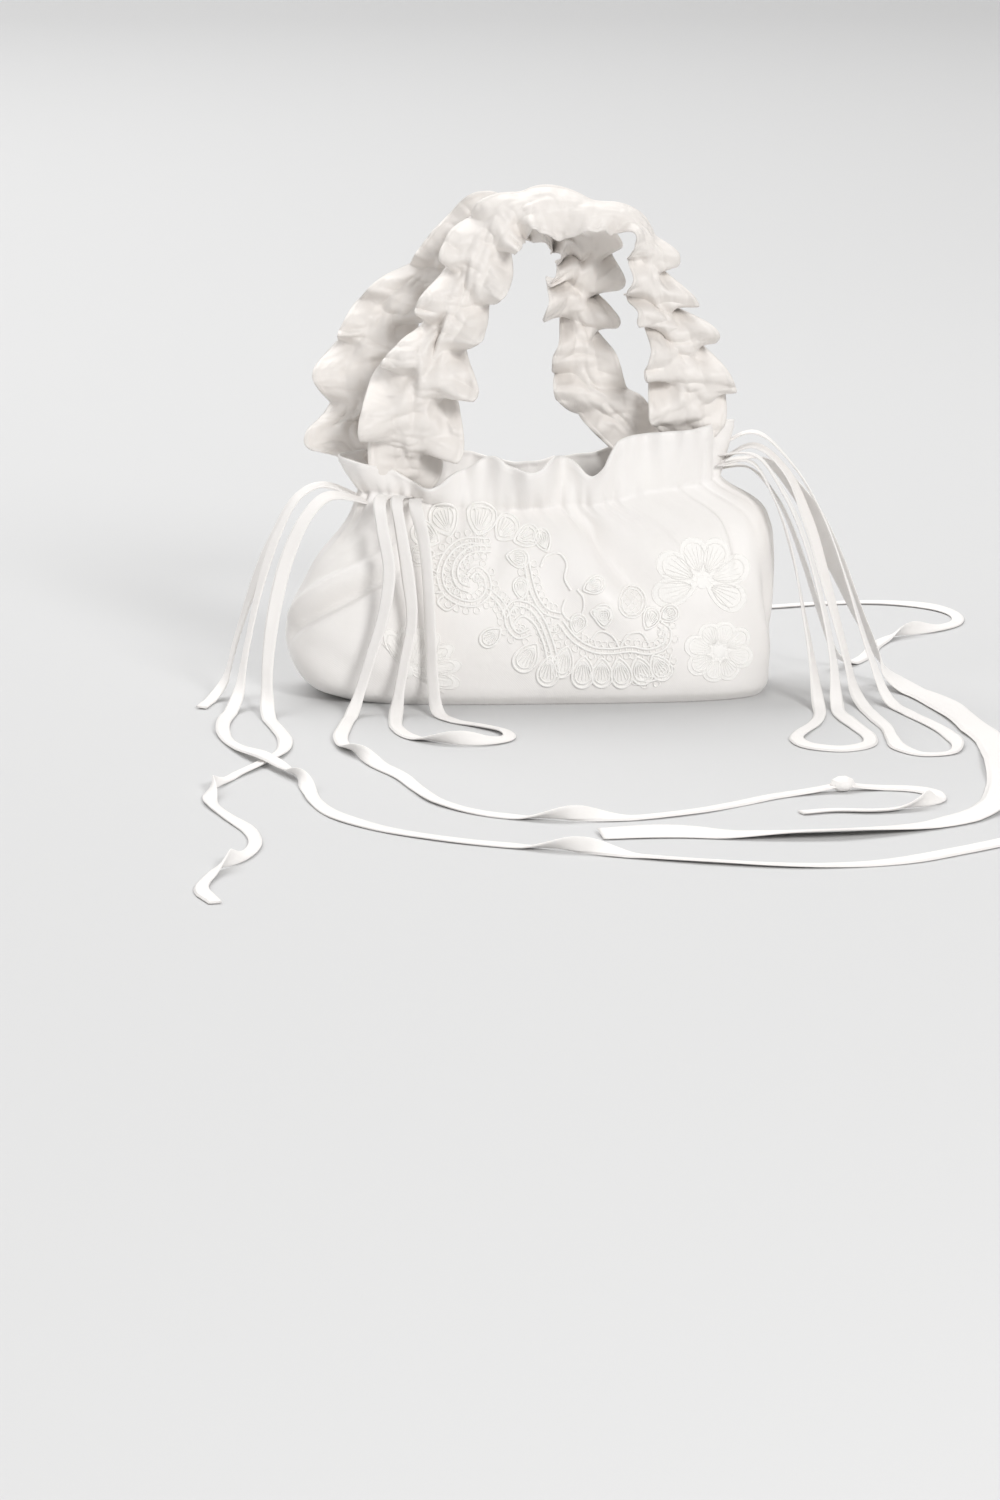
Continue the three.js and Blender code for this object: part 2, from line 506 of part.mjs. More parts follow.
// The pouch's wall and base.
function pouchGeometry() {
  const outer = wallRows;
  const inner = offset(outer, directions(outer, true), -POUCH_CLOTH);
  inner[0].forEach((p) => (p.z = POUCH_CLOTH));
  inner[1].forEach((p) => (p.z = Math.max(p.z, POUCH_CLOTH + BASE_ROUNDING)));
  const faces = new Faces();
  const [o, n] = [faces.add(outer), faces.add(inner)];
  const next = (k) => (k + 1) % AROUND;
  const top = outer.length - 1;
  for (let i = 0; i < top; i++)
    for (let k = 0; k < AROUND; k++) {
      faces.quad(o[i][k], o[i][next(k)], o[i + 1][next(k)], o[i + 1][k]);
      faces.quad(n[i][k], n[i + 1][k], n[i + 1][next(k)], n[i][next(k)]);
    }
  const under = faces.point(new THREE.Vector3(0, 0, 0));
  const floor = faces.point(new THREE.Vector3(0, 0, POUCH_CLOTH));
  for (let k = 0; k < AROUND; k++) {
    faces.quad(o[top][k], o[top][next(k)], n[top][next(k)], n[top][k]);
    faces.triangle(under, o[0][next(k)], o[0][k]);
    faces.triangle(floor, n[0][k], n[0][next(k)]);
  }
  return faces.geometry();
}

function solidOf(geometry) {
  const bare = new THREE.BufferGeometry();
  bare.setAttribute("position", geometry.getAttribute("position"));
  if (geometry.index) bare.setIndex(geometry.index);
  const merged = mergeVertices(bare, 1e-4);
  return new wasm.Manifold(
    new wasm.Mesh({
      numProp: 3,
      vertProperties: new Float32Array(merged.getAttribute("position").array),
      triVerts: new Uint32Array(merged.index.array),
    }),
  );
}

function geometryOf(solid) {
  const mesh = solid.getMesh();
  const geometry = new THREE.BufferGeometry();
  geometry.setAttribute("position", new THREE.BufferAttribute(mesh.vertProperties, 3));
  geometry.setIndex(new THREE.BufferAttribute(mesh.triVerts, 1));
  return geometry;
}

// The space that a piece's neighbours keep clear: the piece and its copies moved each way.
function spaceAround(geometry) {
  const steps = [-1, 0, 1];
  const ways = steps.flatMap((x) => steps.flatMap((y) => steps.map((z) => new THREE.Vector3(x, y, z))));
  return ways
    .map((way) => way.setLength(CLEARANCE * Math.sign(way.length())))
    .map((way) => solidOf(geometry.clone().translate(way.x, way.y, way.z)))
    .reduce((space, moved) => space.add(moved));
}

function largest(solid) {
  return solid.decompose().reduce((a, b) => (b.volume() > a.volume() ? b : a));
}

// A row of a handle's table, with its columns' names.
function station(values) {
  return Object.fromEntries(values.map((value, i) => [STATION[i], value]));
}

// Rows of places across a handle's strap. The frill's edges swing to and fro along an oval, and slip
// along the strap at twice that pace, so that its folds hang over.
function strapRows(stations) {
  const rows = stations.map((row, i) => ({ ...row, at: i }));
  const last = stations.length - 1;
  const value = (key, i) => read(rows, key, "at", (last * i) / STRAP_STATIONS);
  const edge = (side, i) =>
    new THREE.Vector3(
      (value(`${side}Across`, i) * HANDLE_SPAN) / 2,
      value(`${side}Back`, i) * HANDLE_SPREAD,
      CASING_HEIGHT + value(`${side}Up`, i) * (HANDLE_TOP - CASING_HEIGHT),
    );
  const ends = Array.from({ length: STRAP_STATIONS + 1 }, (_, i) => [edge("outer", i), edge("inner", i)]);
  const middles = ends.map(([outer, inner]) => outer.clone().lerp(inner, 0.5));
  return ends.map(([outer, inner], i) => {
    const wide = outer.clone().sub(inner);
    const half = wide.length() / 2;
    wide.normalize();
    const after = middles[Math.min(i + 1, STRAP_STATIONS)];
    const tangent = after.clone().sub(middles[Math.max(i - 1, 0)]).normalize();
    const face = new THREE.Vector3().crossVectors(tangent, wide).normalize();
    return Array.from({ length: STRAP_ACROSS + 1 }, (_, k) => {
      const t = (2 * k) / STRAP_ACROSS - 1;
      const side = 0.5 + 0.5 * Math.tanh(3 * t);
      const share = THREE.MathUtils.lerp(value("innerRuffle", i), value("outerRuffle", i), side);
      const depth = share * STRAP_RUFFLE;
      const rim = Math.abs(t) ** RUFFLE_RIM;
      const phase = 2 * Math.PI * (value("waves", i) + RUFFLE_LAG * (1 - side));
      const push = Math.sin(phase) * depth * THREE.MathUtils.lerp(RUFFLE_MIDDLE, 1, rim);
      const bow = value("bow", i) * STRAP_BOW * (1 - t * t);
      const reach = half * t + Math.sign(t) * RUFFLE_REACH * Math.cos(phase) * depth * rim;
      const slide = -RUFFLE_SLIP * Math.sin(2 * phase) * depth * rim;
      return middles[i]
        .clone()
        .addScaledVector(wide, reach)
        .addScaledVector(face, push + bow)
        .addScaledVector(tangent, slide);
    });
  });
}

function strapGeometry(stations) {
  const rows = strapRows(stations);
  const ways = directions(rows, false);
  return sheet(offset(rows, ways, STRAP_CLOTH / 2), offset(rows, ways, -STRAP_CLOTH / 2));
}

// A place on the pouch's front, as a point and the wall's outward direction there.
function onFront(across, up) {
  const rows = wallRows;
  const heights = POUCH_SECTIONS.map((section) => section.height);
  const place = (x, h) => {
    let i = 0;
    while (i < heights.length - 2 && h > heights[i + 1]) i++;
    const f = (h - heights[i]) / (heights[i + 1] - heights[i]);
    const at = (k) => rows[i][k % AROUND].clone().lerp(rows[i + 1][k % AROUND], f);
    let k = AROUND / 2;
    while (k < AROUND - 1 && at(k + 1).x < x) k++;
    const [a, b] = [at(k), at(k + 1)];
    return a.lerp(b, (x - a.x) / (b.x - a.x));
  };
  const x = (across * BASE_LENGTH) / 2;
  const [reach, rise] = [1, 0.01];
  const along = place(x + reach, up).sub(place(x - reach, up));
  const upward = place(x, up + rise).sub(place(x, up - rise));
  return { point: place(x, up), out: along.cross(upward).normalize() };
}

// A raised cord of lace laid on the pouch's front along a path of [right, above] places in shares of
// LACE_LOOP from the lace's centre. It closes on itself if closed is true.
function laceBand(path, closed) {
  const rims = path.map(([x, z]) =>
    onFront(
      LACE_CENTRE.across + (2 * x * LACE_LOOP) / BASE_LENGTH,
      LACE_CENTRE.up + (z * LACE_LOOP) / CASING_HEIGHT,
    ),
  );
  const n = rims.length;
  const faces = new Faces();
  const rings = rims.map(({ point, out }, i) => {
    const after = rims[closed ? (i + 1) % n : Math.min(i + 1, n - 1)].point;
    const before = rims[closed ? (i + n - 1) % n : Math.max(i - 1, 0)].point;
    const side = after.clone().sub(before).cross(out).normalize().multiplyScalar(LACE_CORD / 2);
    const low = point.clone().addScaledVector(out, LACE_GAP);
    const ridge = low.clone().addScaledVector(out, LACE_THICKNESS);
    return [low.clone().add(side), low.clone().sub(side), ridge];
  });
  const r = faces.add(rings);
  const last = closed ? n : n - 1;
  for (let i = 0; i < last; i++)
    for (let k = 0; k < 3; k++) {
      const [a, b] = [r[i], r[(i + 1) % n]];
      faces.quad(a[k], a[(k + 1) % 3], b[(k + 1) % 3], b[k]);
    }
  if (!closed) {
    faces.triangle(...r[0].toReversed());
    faces.triangle(...r[n - 1]);
  }
  return solidOf(faces.geometry());
}

function laceLoop({ right, above, size }) {
  const corners = 7;
  const path = Array.from({ length: corners }, (_, i) => {
    const angle = (2 * Math.PI * i) / corners;
    return [right + size * Math.cos(angle), above + size * Math.sin(angle)];
  });
  return laceBand(path, true);
}

function laceScroll({ right, above, size, turn, sweep, close }) {
  const corners = Math.ceil(13 * sweep);
  const path = Array.from({ length: corners + 1 }, (_, i) => {
    const t = i / corners;
    const angle = 2 * Math.PI * (turn + sweep * t);
    const radius = size * (1 - close * t ** 1.6);
    return [right + radius * Math.cos(angle), above + radius * Math.sin(angle)];
  });
  return laceBand(path, false);
}

// A thin patch of finer lace, as a closed sheet from its middle to its petalled rim.
function lacePatch({ across, up, wide, tall, petals, wave, lean, stand }) {
  const [spokes, rings] = [16, 3];
  const gap = stand * LACE_PATCH_GAP;
  const faces = new Faces();
  const [low, high] = [gap, gap + LACE_PATCH_THICKNESS].map((height) => {
    const ring = (share) =>
      Array.from({ length: spokes }, (_, i) => {
        const angle = (2 * Math.PI * i) / spokes;
        const radius = share * LACE_PATCH * (1 + wave * Math.cos(petals * angle)) / (1 + wave);
        const flat = new THREE.Vector2(wide * radius * Math.cos(angle), tall * radius * Math.sin(angle));
        flat.rotateAround(new THREE.Vector2(), 2 * Math.PI * lean);
        const { point, out } = onFront(across + (2 * flat.x) / BASE_LENGTH, up + flat.y / CASING_HEIGHT);
        return point.addScaledVector(out, height);
      });
    const centre = onFront(across, up);
    return {
      middle: faces.add([[centre.point.addScaledVector(centre.out, height)]])[0][0],
      rims: faces.add(Array.from({ length: rings }, (_, i) => ring((i + 1) / rings))),
    };
  });
  for (let k = 0; k < spokes; k++) {
    const next = (k + 1) % spokes;
    faces.triangle(high.middle, high.rims[0][k], high.rims[0][next]);
    faces.triangle(low.middle, low.rims[0][next], low.rims[0][k]);
    for (let i = 0; i < rings - 1; i++) {
      faces.quad(high.rims[i][k], high.rims[i + 1][k], high.rims[i + 1][next], high.rims[i][next]);
      faces.quad(low.rims[i][k], low.rims[i][next], low.rims[i + 1][next], low.rims[i + 1][k]);
    }
    const outer = rings - 1;
    faces.quad(low.rims[outer][k], low.rims[outer][next], high.rims[outer][next], high.rims[outer][k]);
  }
  return faces.geometry();
}

function named(name, geometry, material) {
  const mesh = new THREE.Mesh(geometry, material);
  mesh.name = name;
  return mesh;
}

// A tie's route, smoothed, and never lower than lies flat on the surface.
class TieRoute extends THREE.CatmullRomCurve3 {
  getPoint(t, target) {
    const point = super.getPoint(t, target);
    point.z = Math.max(point.z, TIE_THICKNESS / 2 + 0.02);
    return point;
  }
}

// A flat tie, turned so that it lies flat where it rests on the surface: at its end, or halfway
// along a loop.
function tieGeometry(points, width) {
  const route = new TieRoute(points.map((p) => new THREE.Vector3(...p)), false, "centripetal");
  const steps = Math.round(route.getLength() / TIE_STEP);
  const { normals, binormals } = route.computeFrenetFrames(steps, false);
  const lies = points.at(-1)[2] > TIE_WIDTH ? Math.round(steps / 2) : steps;
  const lying = Math.atan2(binormals[lies].z, normals[lies].z);
  const section = new THREE.Shape(
    Array.from({ length: 8 }, (_, i) => {
      const angle = (Math.PI * (2 * i + 1)) / 8;
      const round = Math.cos(Math.PI / 8);
      const thin = (Math.cos(angle) / round) * (TIE_THICKNESS / 2);
      const wide = (Math.sin(angle) / round) * (width / 2);
      return new THREE.Vector2(thin, wide).rotateAround(new THREE.Vector2(), lying);
    }),
  );
  return new THREE.ExtrudeGeometry(section, { steps, bevelEnabled: false, extrudePath: route });
}

function knotGeometry() {
  const knot = new THREE.SphereGeometry(1, 10, 7);
  knot.scale(KNOT_LENGTH / 2, KNOT_WIDTH / 2, KNOT_HEIGHT / 2);
  return knot.rotateZ(KNOT_TURN).translate(...KNOT_PLACE);
}

const wallRows = pouchRows();
const pouchSpace = spaceAround(pouchGeometry());
const knotSpace = spaceAround(knotGeometry());
const front = largest(solidOf(strapGeometry(HANDLE_FRONT)).subtract(pouchSpace));
const frontSpace = spaceAround(geometryOf(front));
const back = largest(solidOf(strapGeometry(HANDLE_BACK)).subtract(pouchSpace).subtract(frontSpace));
const lace = [...LACE_LOOPS.map(laceLoop), ...LACE_SCROLLS.map(laceScroll)];

const bag = new THREE.Group();
bag.add(named("pouch", pouchGeometry(), SATIN));
bag.add(named("handle_front", geometryOf(front), SATIN));
bag.add(named("handle_back", geometryOf(back), SATIN));
bag.add(named("lace_scroll", geometryOf(lace.reduce((whole, piece) => whole.add(piece))), LACE));
for (const [name, patch] of Object.entries(LACE_PATCHES))
  bag.add(named(name, geometryOf(solidOf(lacePatch(patch)).subtract(pouchSpace)), LACE));
for (const [name, points] of Object.entries(TIE_ROUTES)) {
  const width = name === "tie_right_sash" ? SASH_WIDTH : TIE_WIDTH;
  const tie = solidOf(tieGeometry(points, width)).subtract(pouchSpace).subtract(knotSpace);
  bag.add(named(name, geometryOf(largest(tie)), TAPE));
}
bag.add(named("tie_knot", knotGeometry(), TAPE));

export default bag;
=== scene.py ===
# A small gathered handbag of ivory satin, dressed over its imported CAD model: a soft pouch with a
# frilled mouth, two ruched handles, corded lace on its face and long flat ties that trail on the
# surface. Metres, +X to the bag's right as seen from its front, -Y towards the front, +Z up.

import math
import random

import bpy
import numpy as np
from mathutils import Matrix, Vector, noise
from mathutils.bvhtree import BVHTree


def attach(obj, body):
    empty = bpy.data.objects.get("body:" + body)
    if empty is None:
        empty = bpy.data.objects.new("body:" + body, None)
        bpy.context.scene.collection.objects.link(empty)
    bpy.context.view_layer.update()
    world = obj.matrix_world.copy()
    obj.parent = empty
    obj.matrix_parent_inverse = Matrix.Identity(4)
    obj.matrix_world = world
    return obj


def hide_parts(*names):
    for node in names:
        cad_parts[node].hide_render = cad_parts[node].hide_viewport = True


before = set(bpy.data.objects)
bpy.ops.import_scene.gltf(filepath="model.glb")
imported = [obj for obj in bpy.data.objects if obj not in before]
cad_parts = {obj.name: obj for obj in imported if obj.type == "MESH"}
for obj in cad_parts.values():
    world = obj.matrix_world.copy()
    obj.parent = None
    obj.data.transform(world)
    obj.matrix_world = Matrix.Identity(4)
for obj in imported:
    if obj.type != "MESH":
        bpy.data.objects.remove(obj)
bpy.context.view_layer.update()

bl_info = {
    "name": "Gathered satin handbag",
    "version": (1, 0, 0),
    "blender": (4, 5, 0),
    "location": "View3D > Sidebar > Handbag",
    "description": "Builds a gathered satin handbag with ruched handles, corded lace and long flat ties",
    "category": "Add Mesh",
}

MM = 0.001


def table(columns, *rows, parts=1):
    """Rows of numbers as dictionaries with named columns. The numbers are given in parts of one."""
    return [dict(zip(columns.split(), (value / parts for value in row))) for row in rows]


# Sections of the pouch from its base to its casing. height is a share of the casing's height. left,
# right and deep are shares of half the base's sides, drawn says how far the section has been pulled
# in from that outline to the mouth's, and square is the outline's superellipse power.
POUCH_SECTIONS = table(
    "height left right deep drawn square",
    (0.0, 1.01, 0.985, 0.92, 0, 3.6),
    (0.05, 1.14, 1.015, 1.02, 0, 3.7),
    (0.14, 1.22, 1.025, 1.06, 0, 3.6),
    (0.26, 1.26, 1.03, 1.08, 0, 3.4),
    (0.4, 1.24, 1.03, 1.07, 0, 3.3),
    (0.54, 1.18, 1.035, 1.04, 0.03, 3.2),
    (0.68, 1.13, 1.07, 1.0, 0.14, 3.0),
    (0.8, 1.06, 1.14, 0.96, 0.34, 2.8),
    (0.91, 1.0, 1.22, 0.94, 0.66, 2.5),
    (1.0, 1.0, 1.0, 0.9, 1.0, 2.3),
)

# The frill above the casing: rise is a share of its height, flare and ruffle of its reach.
FRILL_SECTIONS = table(
    "rise flare ruffle",
    (0.0, 0.0, 0.0),
    (0.2, 0.22, 0.25),
    (0.58, 0.4, 0.7),
    (1.0, 0.5, 1.0),
)

# How the casing and the frill change round the mouth. turn is the share of a full turn from the
# right end by way of the back. lift is a share of the casing's height, tall of the frill's height,
# out of its flare and gather says how deep the casing's pleats are there.
MOUTH_LINE = table(
    "turn lift tall out gather",
    (0.0, 0.06, 1.25, 0.35, 0.7),
    (0.08, 0.03, 1.15, 0.3, 0.7),
    (0.17, -0.04, 0.95, 0.5, 0.9),
    (0.26, -0.09, 0.9, 0.6, 1.0),
    (0.36, -0.04, 0.95, 0.6, 1.0),
    (0.45, 0.01, 0.9, 0.7, 1.2),
    (0.51, 0.0, 0.8, 0.8, 1.4),
    (0.56, 0.0, 0.55, 0.5, 1.5),
    (0.585, -0.02, 0.4, 0.4, 1.5),
    (0.61, -0.05, 0.4, 0.5, 1.2),
    (0.636, -0.065, 0.76, 0.7, 0.8),
    (0.66, -0.07, 1.0, 0.9, 0.6),
    (0.685, -0.07, 1.22, 0.9, 0.5),
    (0.712, -0.07, 0.98, 0.7, 0.6),
    (0.74, -0.068, 0.88, 0.9, 0.9),
    (0.765, -0.062, 1.15, 0.9, 1.3),
    (0.788, -0.055, 1.02, 0.5, 1.6),
    (0.813, -0.05, 0.66, 0.3, 1.7),
    (0.847, -0.03, 1.35, 0.1, 1.2),
    (0.88, 0.0, 1.35, 0.1, 0.3),
    (0.94, 0.03, 1.3, 0.2, 0.4),
)

# Folds in the pouch's wall, each a valley between two places with a ridge of puffed cloth to its
# right, as seen from its first place. wide and deep are shares of the base's depth and ridge of the
# valley's own depth.
POUCH_FOLDS = table(
    "from_turn from_height to_turn to_height wide deep ridge",
    (0.606, 0.66, 0.53, 0.34, 0.05, 0.1, 0.6),
    (0.6, 0.9, 0.55, 0.62, 0.04, 0.035, 0.4),
    (0.63, 0.93, 0.625, 0.66, 0.035, 0.02, 0.4),
    (0.774, 0.96, 0.852, 0.5, 0.1, 0.115, 0.45),
    (0.68, 0.88, 0.7, 0.62, 0.07, 0.025, 0.3),
    (0.857, 0.93, 0.885, 0.7, 0.05, 0.03, 0.5),
    (0.93, 0.97, 0.925, 0.62, 0.05, 0.04, 0.4),
    (0.955, 0.6, 0.97, 0.15, 0.05, 0.03, 0.5),
    (0.56, 0.3, 0.62, 0.1, 0.07, 0.02, 0.4),
    (0.3, 0.9, 0.24, 0.5, 0.08, 0.06, 0.4),
    (0.37, 0.88, 0.4, 0.5, 0.06, 0.04, 0.4),
    (0.14, 0.85, 0.18, 0.45, 0.08, 0.05, 0.4),
    (0.03, 0.85, 0.985, 0.35, 0.06, 0.05, 0.4),
)

# Stations along each handle, from its left end to its right end. outer and inner give the places of
# the strap's two edges: across is a share of half of the handle's span, up of the way from the casing
# to the handle's top, and back of its spread. bow is how far the strap's middle stands out between its
# edges, the ruffles are shares of the frill's depth, and waves counts the frill's waves so far. All are
# in hundredths.
STRAP_COLUMNS = (
    "outer_across outer_up outer_back inner_across inner_up inner_back bow outer_ruffle"
    " inner_ruffle waves"
)
HANDLE_STATIONS = {
    "handle_front": table(
        STRAP_COLUMNS,
        (-112, -1, -32, -86, -1, -42, 0, 10, 10, 0),
        (-116, 8, -63, -71, 6, -74, 0, 40, 50, 30),
        (-122, 18, -105, -64, 17, -105, 20, 80, 90, 80),
        (-123, 31, -137, -59, 29, -137, 30, 110, 120, 135),
        (-115, 45, -147, -53, 39, -158, 40, 120, 130, 190),
        (-99, 55, -126, -54, 51, -158, 40, 110, 120, 245),
        (-87, 65, -116, -46, 60, -158, 30, 110, 110, 295),
        (-79, 76, -116, -37, 69, -158, 30, 110, 110, 345),
        (-71, 88, -116, -31, 76, -158, 30, 100, 110, 400),
        (-61, 99, -105, -25, 86, -158, 40, 70, 110, 460),
        (-43, 105.5, -84, -21, 92, -158, 60, 30, 80, 520),
        (-19, 109.5, -74, -11, 94, -158, 80, 12, 55, 580),
        (4, 109.5, -74, 3, 93, -158, 80, 10, 35, 635),
        (27, 105.5, -74, 22, 94, -158, 80, 12, 35, 685),
        (51, 100, -74, 38, 95, -147, 70, 20, 40, 740),
        (67, 92, -74, 48, 90, -137, 50, 40, 60, 790),
        (76, 83, -74, 47, 81, -137, 40, 60, 70, 845),
        (82, 72, -68, 46, 72, -132, 30, 90, 80, 910),
        (92, 63, -63, 52, 63, -126, 30, 110, 90, 975),
        (100, 54, -63, 57, 53, -116, 30, 120, 90, 1040),
        (109, 44, -63, 59, 42, -105, 30, 120, 90, 1105),
        (116, 34, -53, 59, 32, -84, 30, 90, 80, 1170),
        (110, 25, -32, 66, 24, -53, 20, 50, 50, 1220),
        (100, 17, -21, 75, 16, -32, 0, 20, 20, 1260),
        (98, 11, -16, 80, 10, -21, 0, 10, 10, 1290),
        parts=100,
    ),
    "handle_back": table(
        STRAP_COLUMNS,
        (-117, 0, 16, -100, 0, 11, 0, 10, 10, 0),
        (-123, 4, 32, -101, 6, 26, 0, 30, 30, 30),
        (-141, 10, 58, -105, 13, 47, 20, 80, 80, 85),
        (-155, 19, 74, -109, 22, 63, 30, 110, 100, 140),
        (-147, 29, 89, -96, 31, 74, 30, 110, 100, 195),
        (-150, 43, 105, -92, 42, 89, 30, 120, 110, 250),
        (-136, 55, 116, -86, 53, 105, 30, 110, 110, 310),
        (-126, 66, 116, -77, 61, 105, 30, 100, 100, 365),
        (-108, 75, 121, -66, 67, 105, 30, 100, 100, 420),
        (-87, 83, 126, -52, 75, 105, 30, 100, 100, 475),
        (-73, 93, 126, -45, 82, 100, 30, 100, 100, 530),
        (-58, 102, 132, -30, 88, 95, 40, 80, 90, 585),
        (-37, 106, 132, -13, 89, 89, 40, 50, 80, 640),
        (-11, 105, 132, -1, 86, 84, 40, 40, 80, 695),
        (16, 101, 126, 4, 83, 84, 40, 50, 100, 750),
        (37, 93, 121, 4, 79, 95, 30, 70, 110, 810),
        (46, 84, 116, 0, 74, 95, 30, 90, 120, 875),
        (42, 74, 116, -4, 69, 89, 30, 100, 120, 940),
        (38, 65, 105, -2, 62, 84, 30, 100, 120, 1005),
        (39, 56, 100, 5, 55, 84, 30, 100, 100, 1065),
        (41, 46, 89, 2, 46, 74, 30, 80, 80, 1120),
        (48, 37, 74, 0, 36, 63, 40, 60, 60, 1170),
        (58, 32, 58, 11, 28, 47, 40, 40, 50, 1220),
        (67, 25, 42, 27, 20, 37, 30, 30, 30, 1260),
        (72, 18, 26, 38, 14, 26, 10, 15, 15, 1290),
        (76, 12, 16, 50, 9, 16, 0, 10, 10, 1310),
        parts=100,
    ),
}

# The ties' routes in millimetres, the same points as in the CAD source. Those without a height lie on
# the surface.
TIE_ROUTES = {
    "tie_left_outer": (
        (-103, -3, 105), (-126, -8, 115), (-139, -12, 109), (-151, -18, 89), (-161, -25, 61),
        (-168, -34, 32), (-173, -48, 9), (-178, -70), (-182, -102), (-181, -136), (-174, -170, 2),
        (-162, -204, 4.5), (-150, -236, 3), (-142, -270), (-138, -306), (-128, -342), (-106, -374),
        (-74, -400), (-36, -420), (4, -438), (46, -456), (90, -466), (132, -460), (164, -440),
        (190, -420),
    ),
    "tie_left_inner": (
        (-98, -6, 105), (-123, -20, 111), (-135, -27, 101), (-146, -34, 79), (-153, -41, 53),
        (-157, -52, 27), (-158, -67, 7), (-157, -88), (-153, -116), (-150, -146), (-153, -178),
        (-164, -208), (-178, -238), (-188, -270), (-190, -304), (-182, -338), (-172, -372),
        (-170, -406), (-178, -438), (-190, -468), (-196, -500), (-190, -528),
    ),
    "tie_left_short": (
        (-102, 4, 105), (-126, 10, 113), (-140, 10, 106), (-153, 6, 84), (-164, 1, 58),
        (-173, -6, 32), (-180, -16, 10), (-188, -32, 1.5), (-193, -52),
    ),
    "tie_front_outer": (
        (-87, -10, 109), (-96, -41, 111), (-95, -54, 97), (-92, -62, 77), (-95, -65, 54),
        (-102, -66, 31), (-109, -70, 10), (-114, -86), (-118, -114), (-121, -146), (-117, -180),
        (-106, -212), (-94, -244), (-86, -278), (-76, -312), (-54, -340), (-22, -355), (12, -354),
        (44, -341), (70, -322), (94, -303), (112, -295, 2), (125, -291.5, 4),
    ),
    "tie_front_end": (
        (125, -291.5, 4), (136, -289, 2), (149, -289), (163, -295), (170, -309), (167, -325),
        (153, -338), (134, -344), (115, -341), (98, -346),
    ),
    "tie_front_loop": (
        (-80, -12, 109), (-87, -42, 111), (-85, -55, 95), (-82, -62, 74), (-80, -65, 50),
        (-84, -66, 28), (-88, -72, 8), (-90, -90), (-90, -116), (-84, -140), (-68, -158), (-48, -162),
        (-34, -150), (-34, -130), (-46, -112), (-60, -96), (-67, -80, 3), (-69, -67, 20),
        (-70, -64, 44), (-71, -63, 68), (-73, -56, 92), (-77, -44, 109), (-74, -14, 108),
    ),
    "tie_right_inner_loop": (
        (90, -8, 124), (107, -16, 127), (119, -25, 108), (128, -32, 80), (134, -41, 48),
        (138, -53, 20), (139, -70, 3.5), (137, -93), (131, -117), (122, -139), (117, -160),
        (122, -180), (138, -188), (152, -177), (156, -154), (153, -130), (150, -110), (148, -90),
        (149, -70, 4), (149, -52, 24), (144, -40, 54), (136, -31, 84), (125, -23, 110),
        (110, -13, 130), (90, -3, 129),
    ),
    "tie_right_outer_loop": (
        (90, 1, 124), (110, -1, 134), (127, -8, 121), (139, -15, 94), (148, -24, 62), (156, -35, 30),
        (161, -51, 7), (164, -76), (166, -104), (168, -132), (167, -160), (168, -186), (178, -203),
        (192, -200), (199, -180), (198, -152), (193, -122), (186, -92), (178, -62, 4), (170, -40, 26),
        (160, -25, 60), (148, -14, 94), (131, -6, 124), (111, 2, 141), (89, 5, 132),
    ),
    "tie_right_sash": (
        (88, 11, 122), (116, 12, 125), (138, 11, 104), (156, 8, 70), (171, 2, 36), (184, -8, 10),
        (197, -28), (206, -58), (211, -94), (215, -132), (218, -170), (217, -210), (213, -250),
        (207, -290), (197, -328), (178, -360), (148, -384), (110, -396), (70, -396), (32, -389),
        (-4, -392),
    ),
    "tie_right_tail": (
        (84, 16, 118), (110, 27, 118), (128, 33, 98), (142, 39, 66), (153, 44, 34), (163, 50, 9),
        (174, 63), (186, 90), (195, 120), (209, 146), (232, 164), (250, 188), (254, 218), (242, 246),
        (216, 262), (184, 264), (154, 254), (126, 246),
    ),
}

# How each tie is turned about its own line, in half turns, at shares of its length.
TIE_TURNS = {
    "tie_left_outer": [(0, 0), (0.1, 0.15), (0.2, 0), (0.42, 0), (0.47, 1), (0.7, 1), (0.75, 2)],
    "tie_left_inner": [(0, 0.1), (0.15, 0.4), (0.24, 0), (0.55, 0), (0.62, 1), (0.84, 1), (0.9, 2)],
    "tie_left_short": [(0, 0), (0.5, 0.3), (0.8, 0)],
    "tie_front_outer": [(0, 0), (0.1, 0.1), (0.2, 0), (0.4, 0), (0.46, 1), (0.72, 1), (0.78, 2)],
    "tie_front_end": [(0, 0), (0.45, 0), (0.6, 1), (1, 1)],
    "tie_front_loop": [(0, 0), (0.12, 0.15), (0.25, 0), (0.45, 0), (0.52, 1), (0.7, 1), (1, 1)],
    "tie_right_inner_loop": [(0, 0), (0.12, 0.2), (0.25, 0), (0.48, 0), (1, 0)],
    "tie_right_outer_loop": [(0, 0), (0.12, -0.2), (0.25, 0), (0.48, 0), (1, 0)],
    "tie_right_sash": [(0, 0), (0.12, 0.15), (0.25, 0), (1, 0)],
    "tie_right_tail": [(0, 0), (0.3, 0), (0.5, 0), (0.58, 1), (1, 1)],
}

# Distance between a tie's rings, in metres.
TIE_STEP = 0.0025

# The section of a folded tape: across is a share of half its width and thick of half its thickness.
# One edge is the fold, and the other shows the upper layer's edge a little inside the lower one's.
TAPE_SECTION = table(
    "across thick",
    (-1.0, 0.1),
    (-0.93, 0.75),
    (-0.75, 1.0),
    (-0.3, 0.8),
    (0.25, 0.8),
    (0.66, 1.0),
    (0.78, 0.9),
    (0.8, 0.15),
    (0.97, 0.1),
    (1.0, -0.4),
    (0.9, -0.9),
    (0.4, -1.0),
    (-0.3, -1.0),
    (-0.85, -0.95),
    (-0.98, -0.5),
)


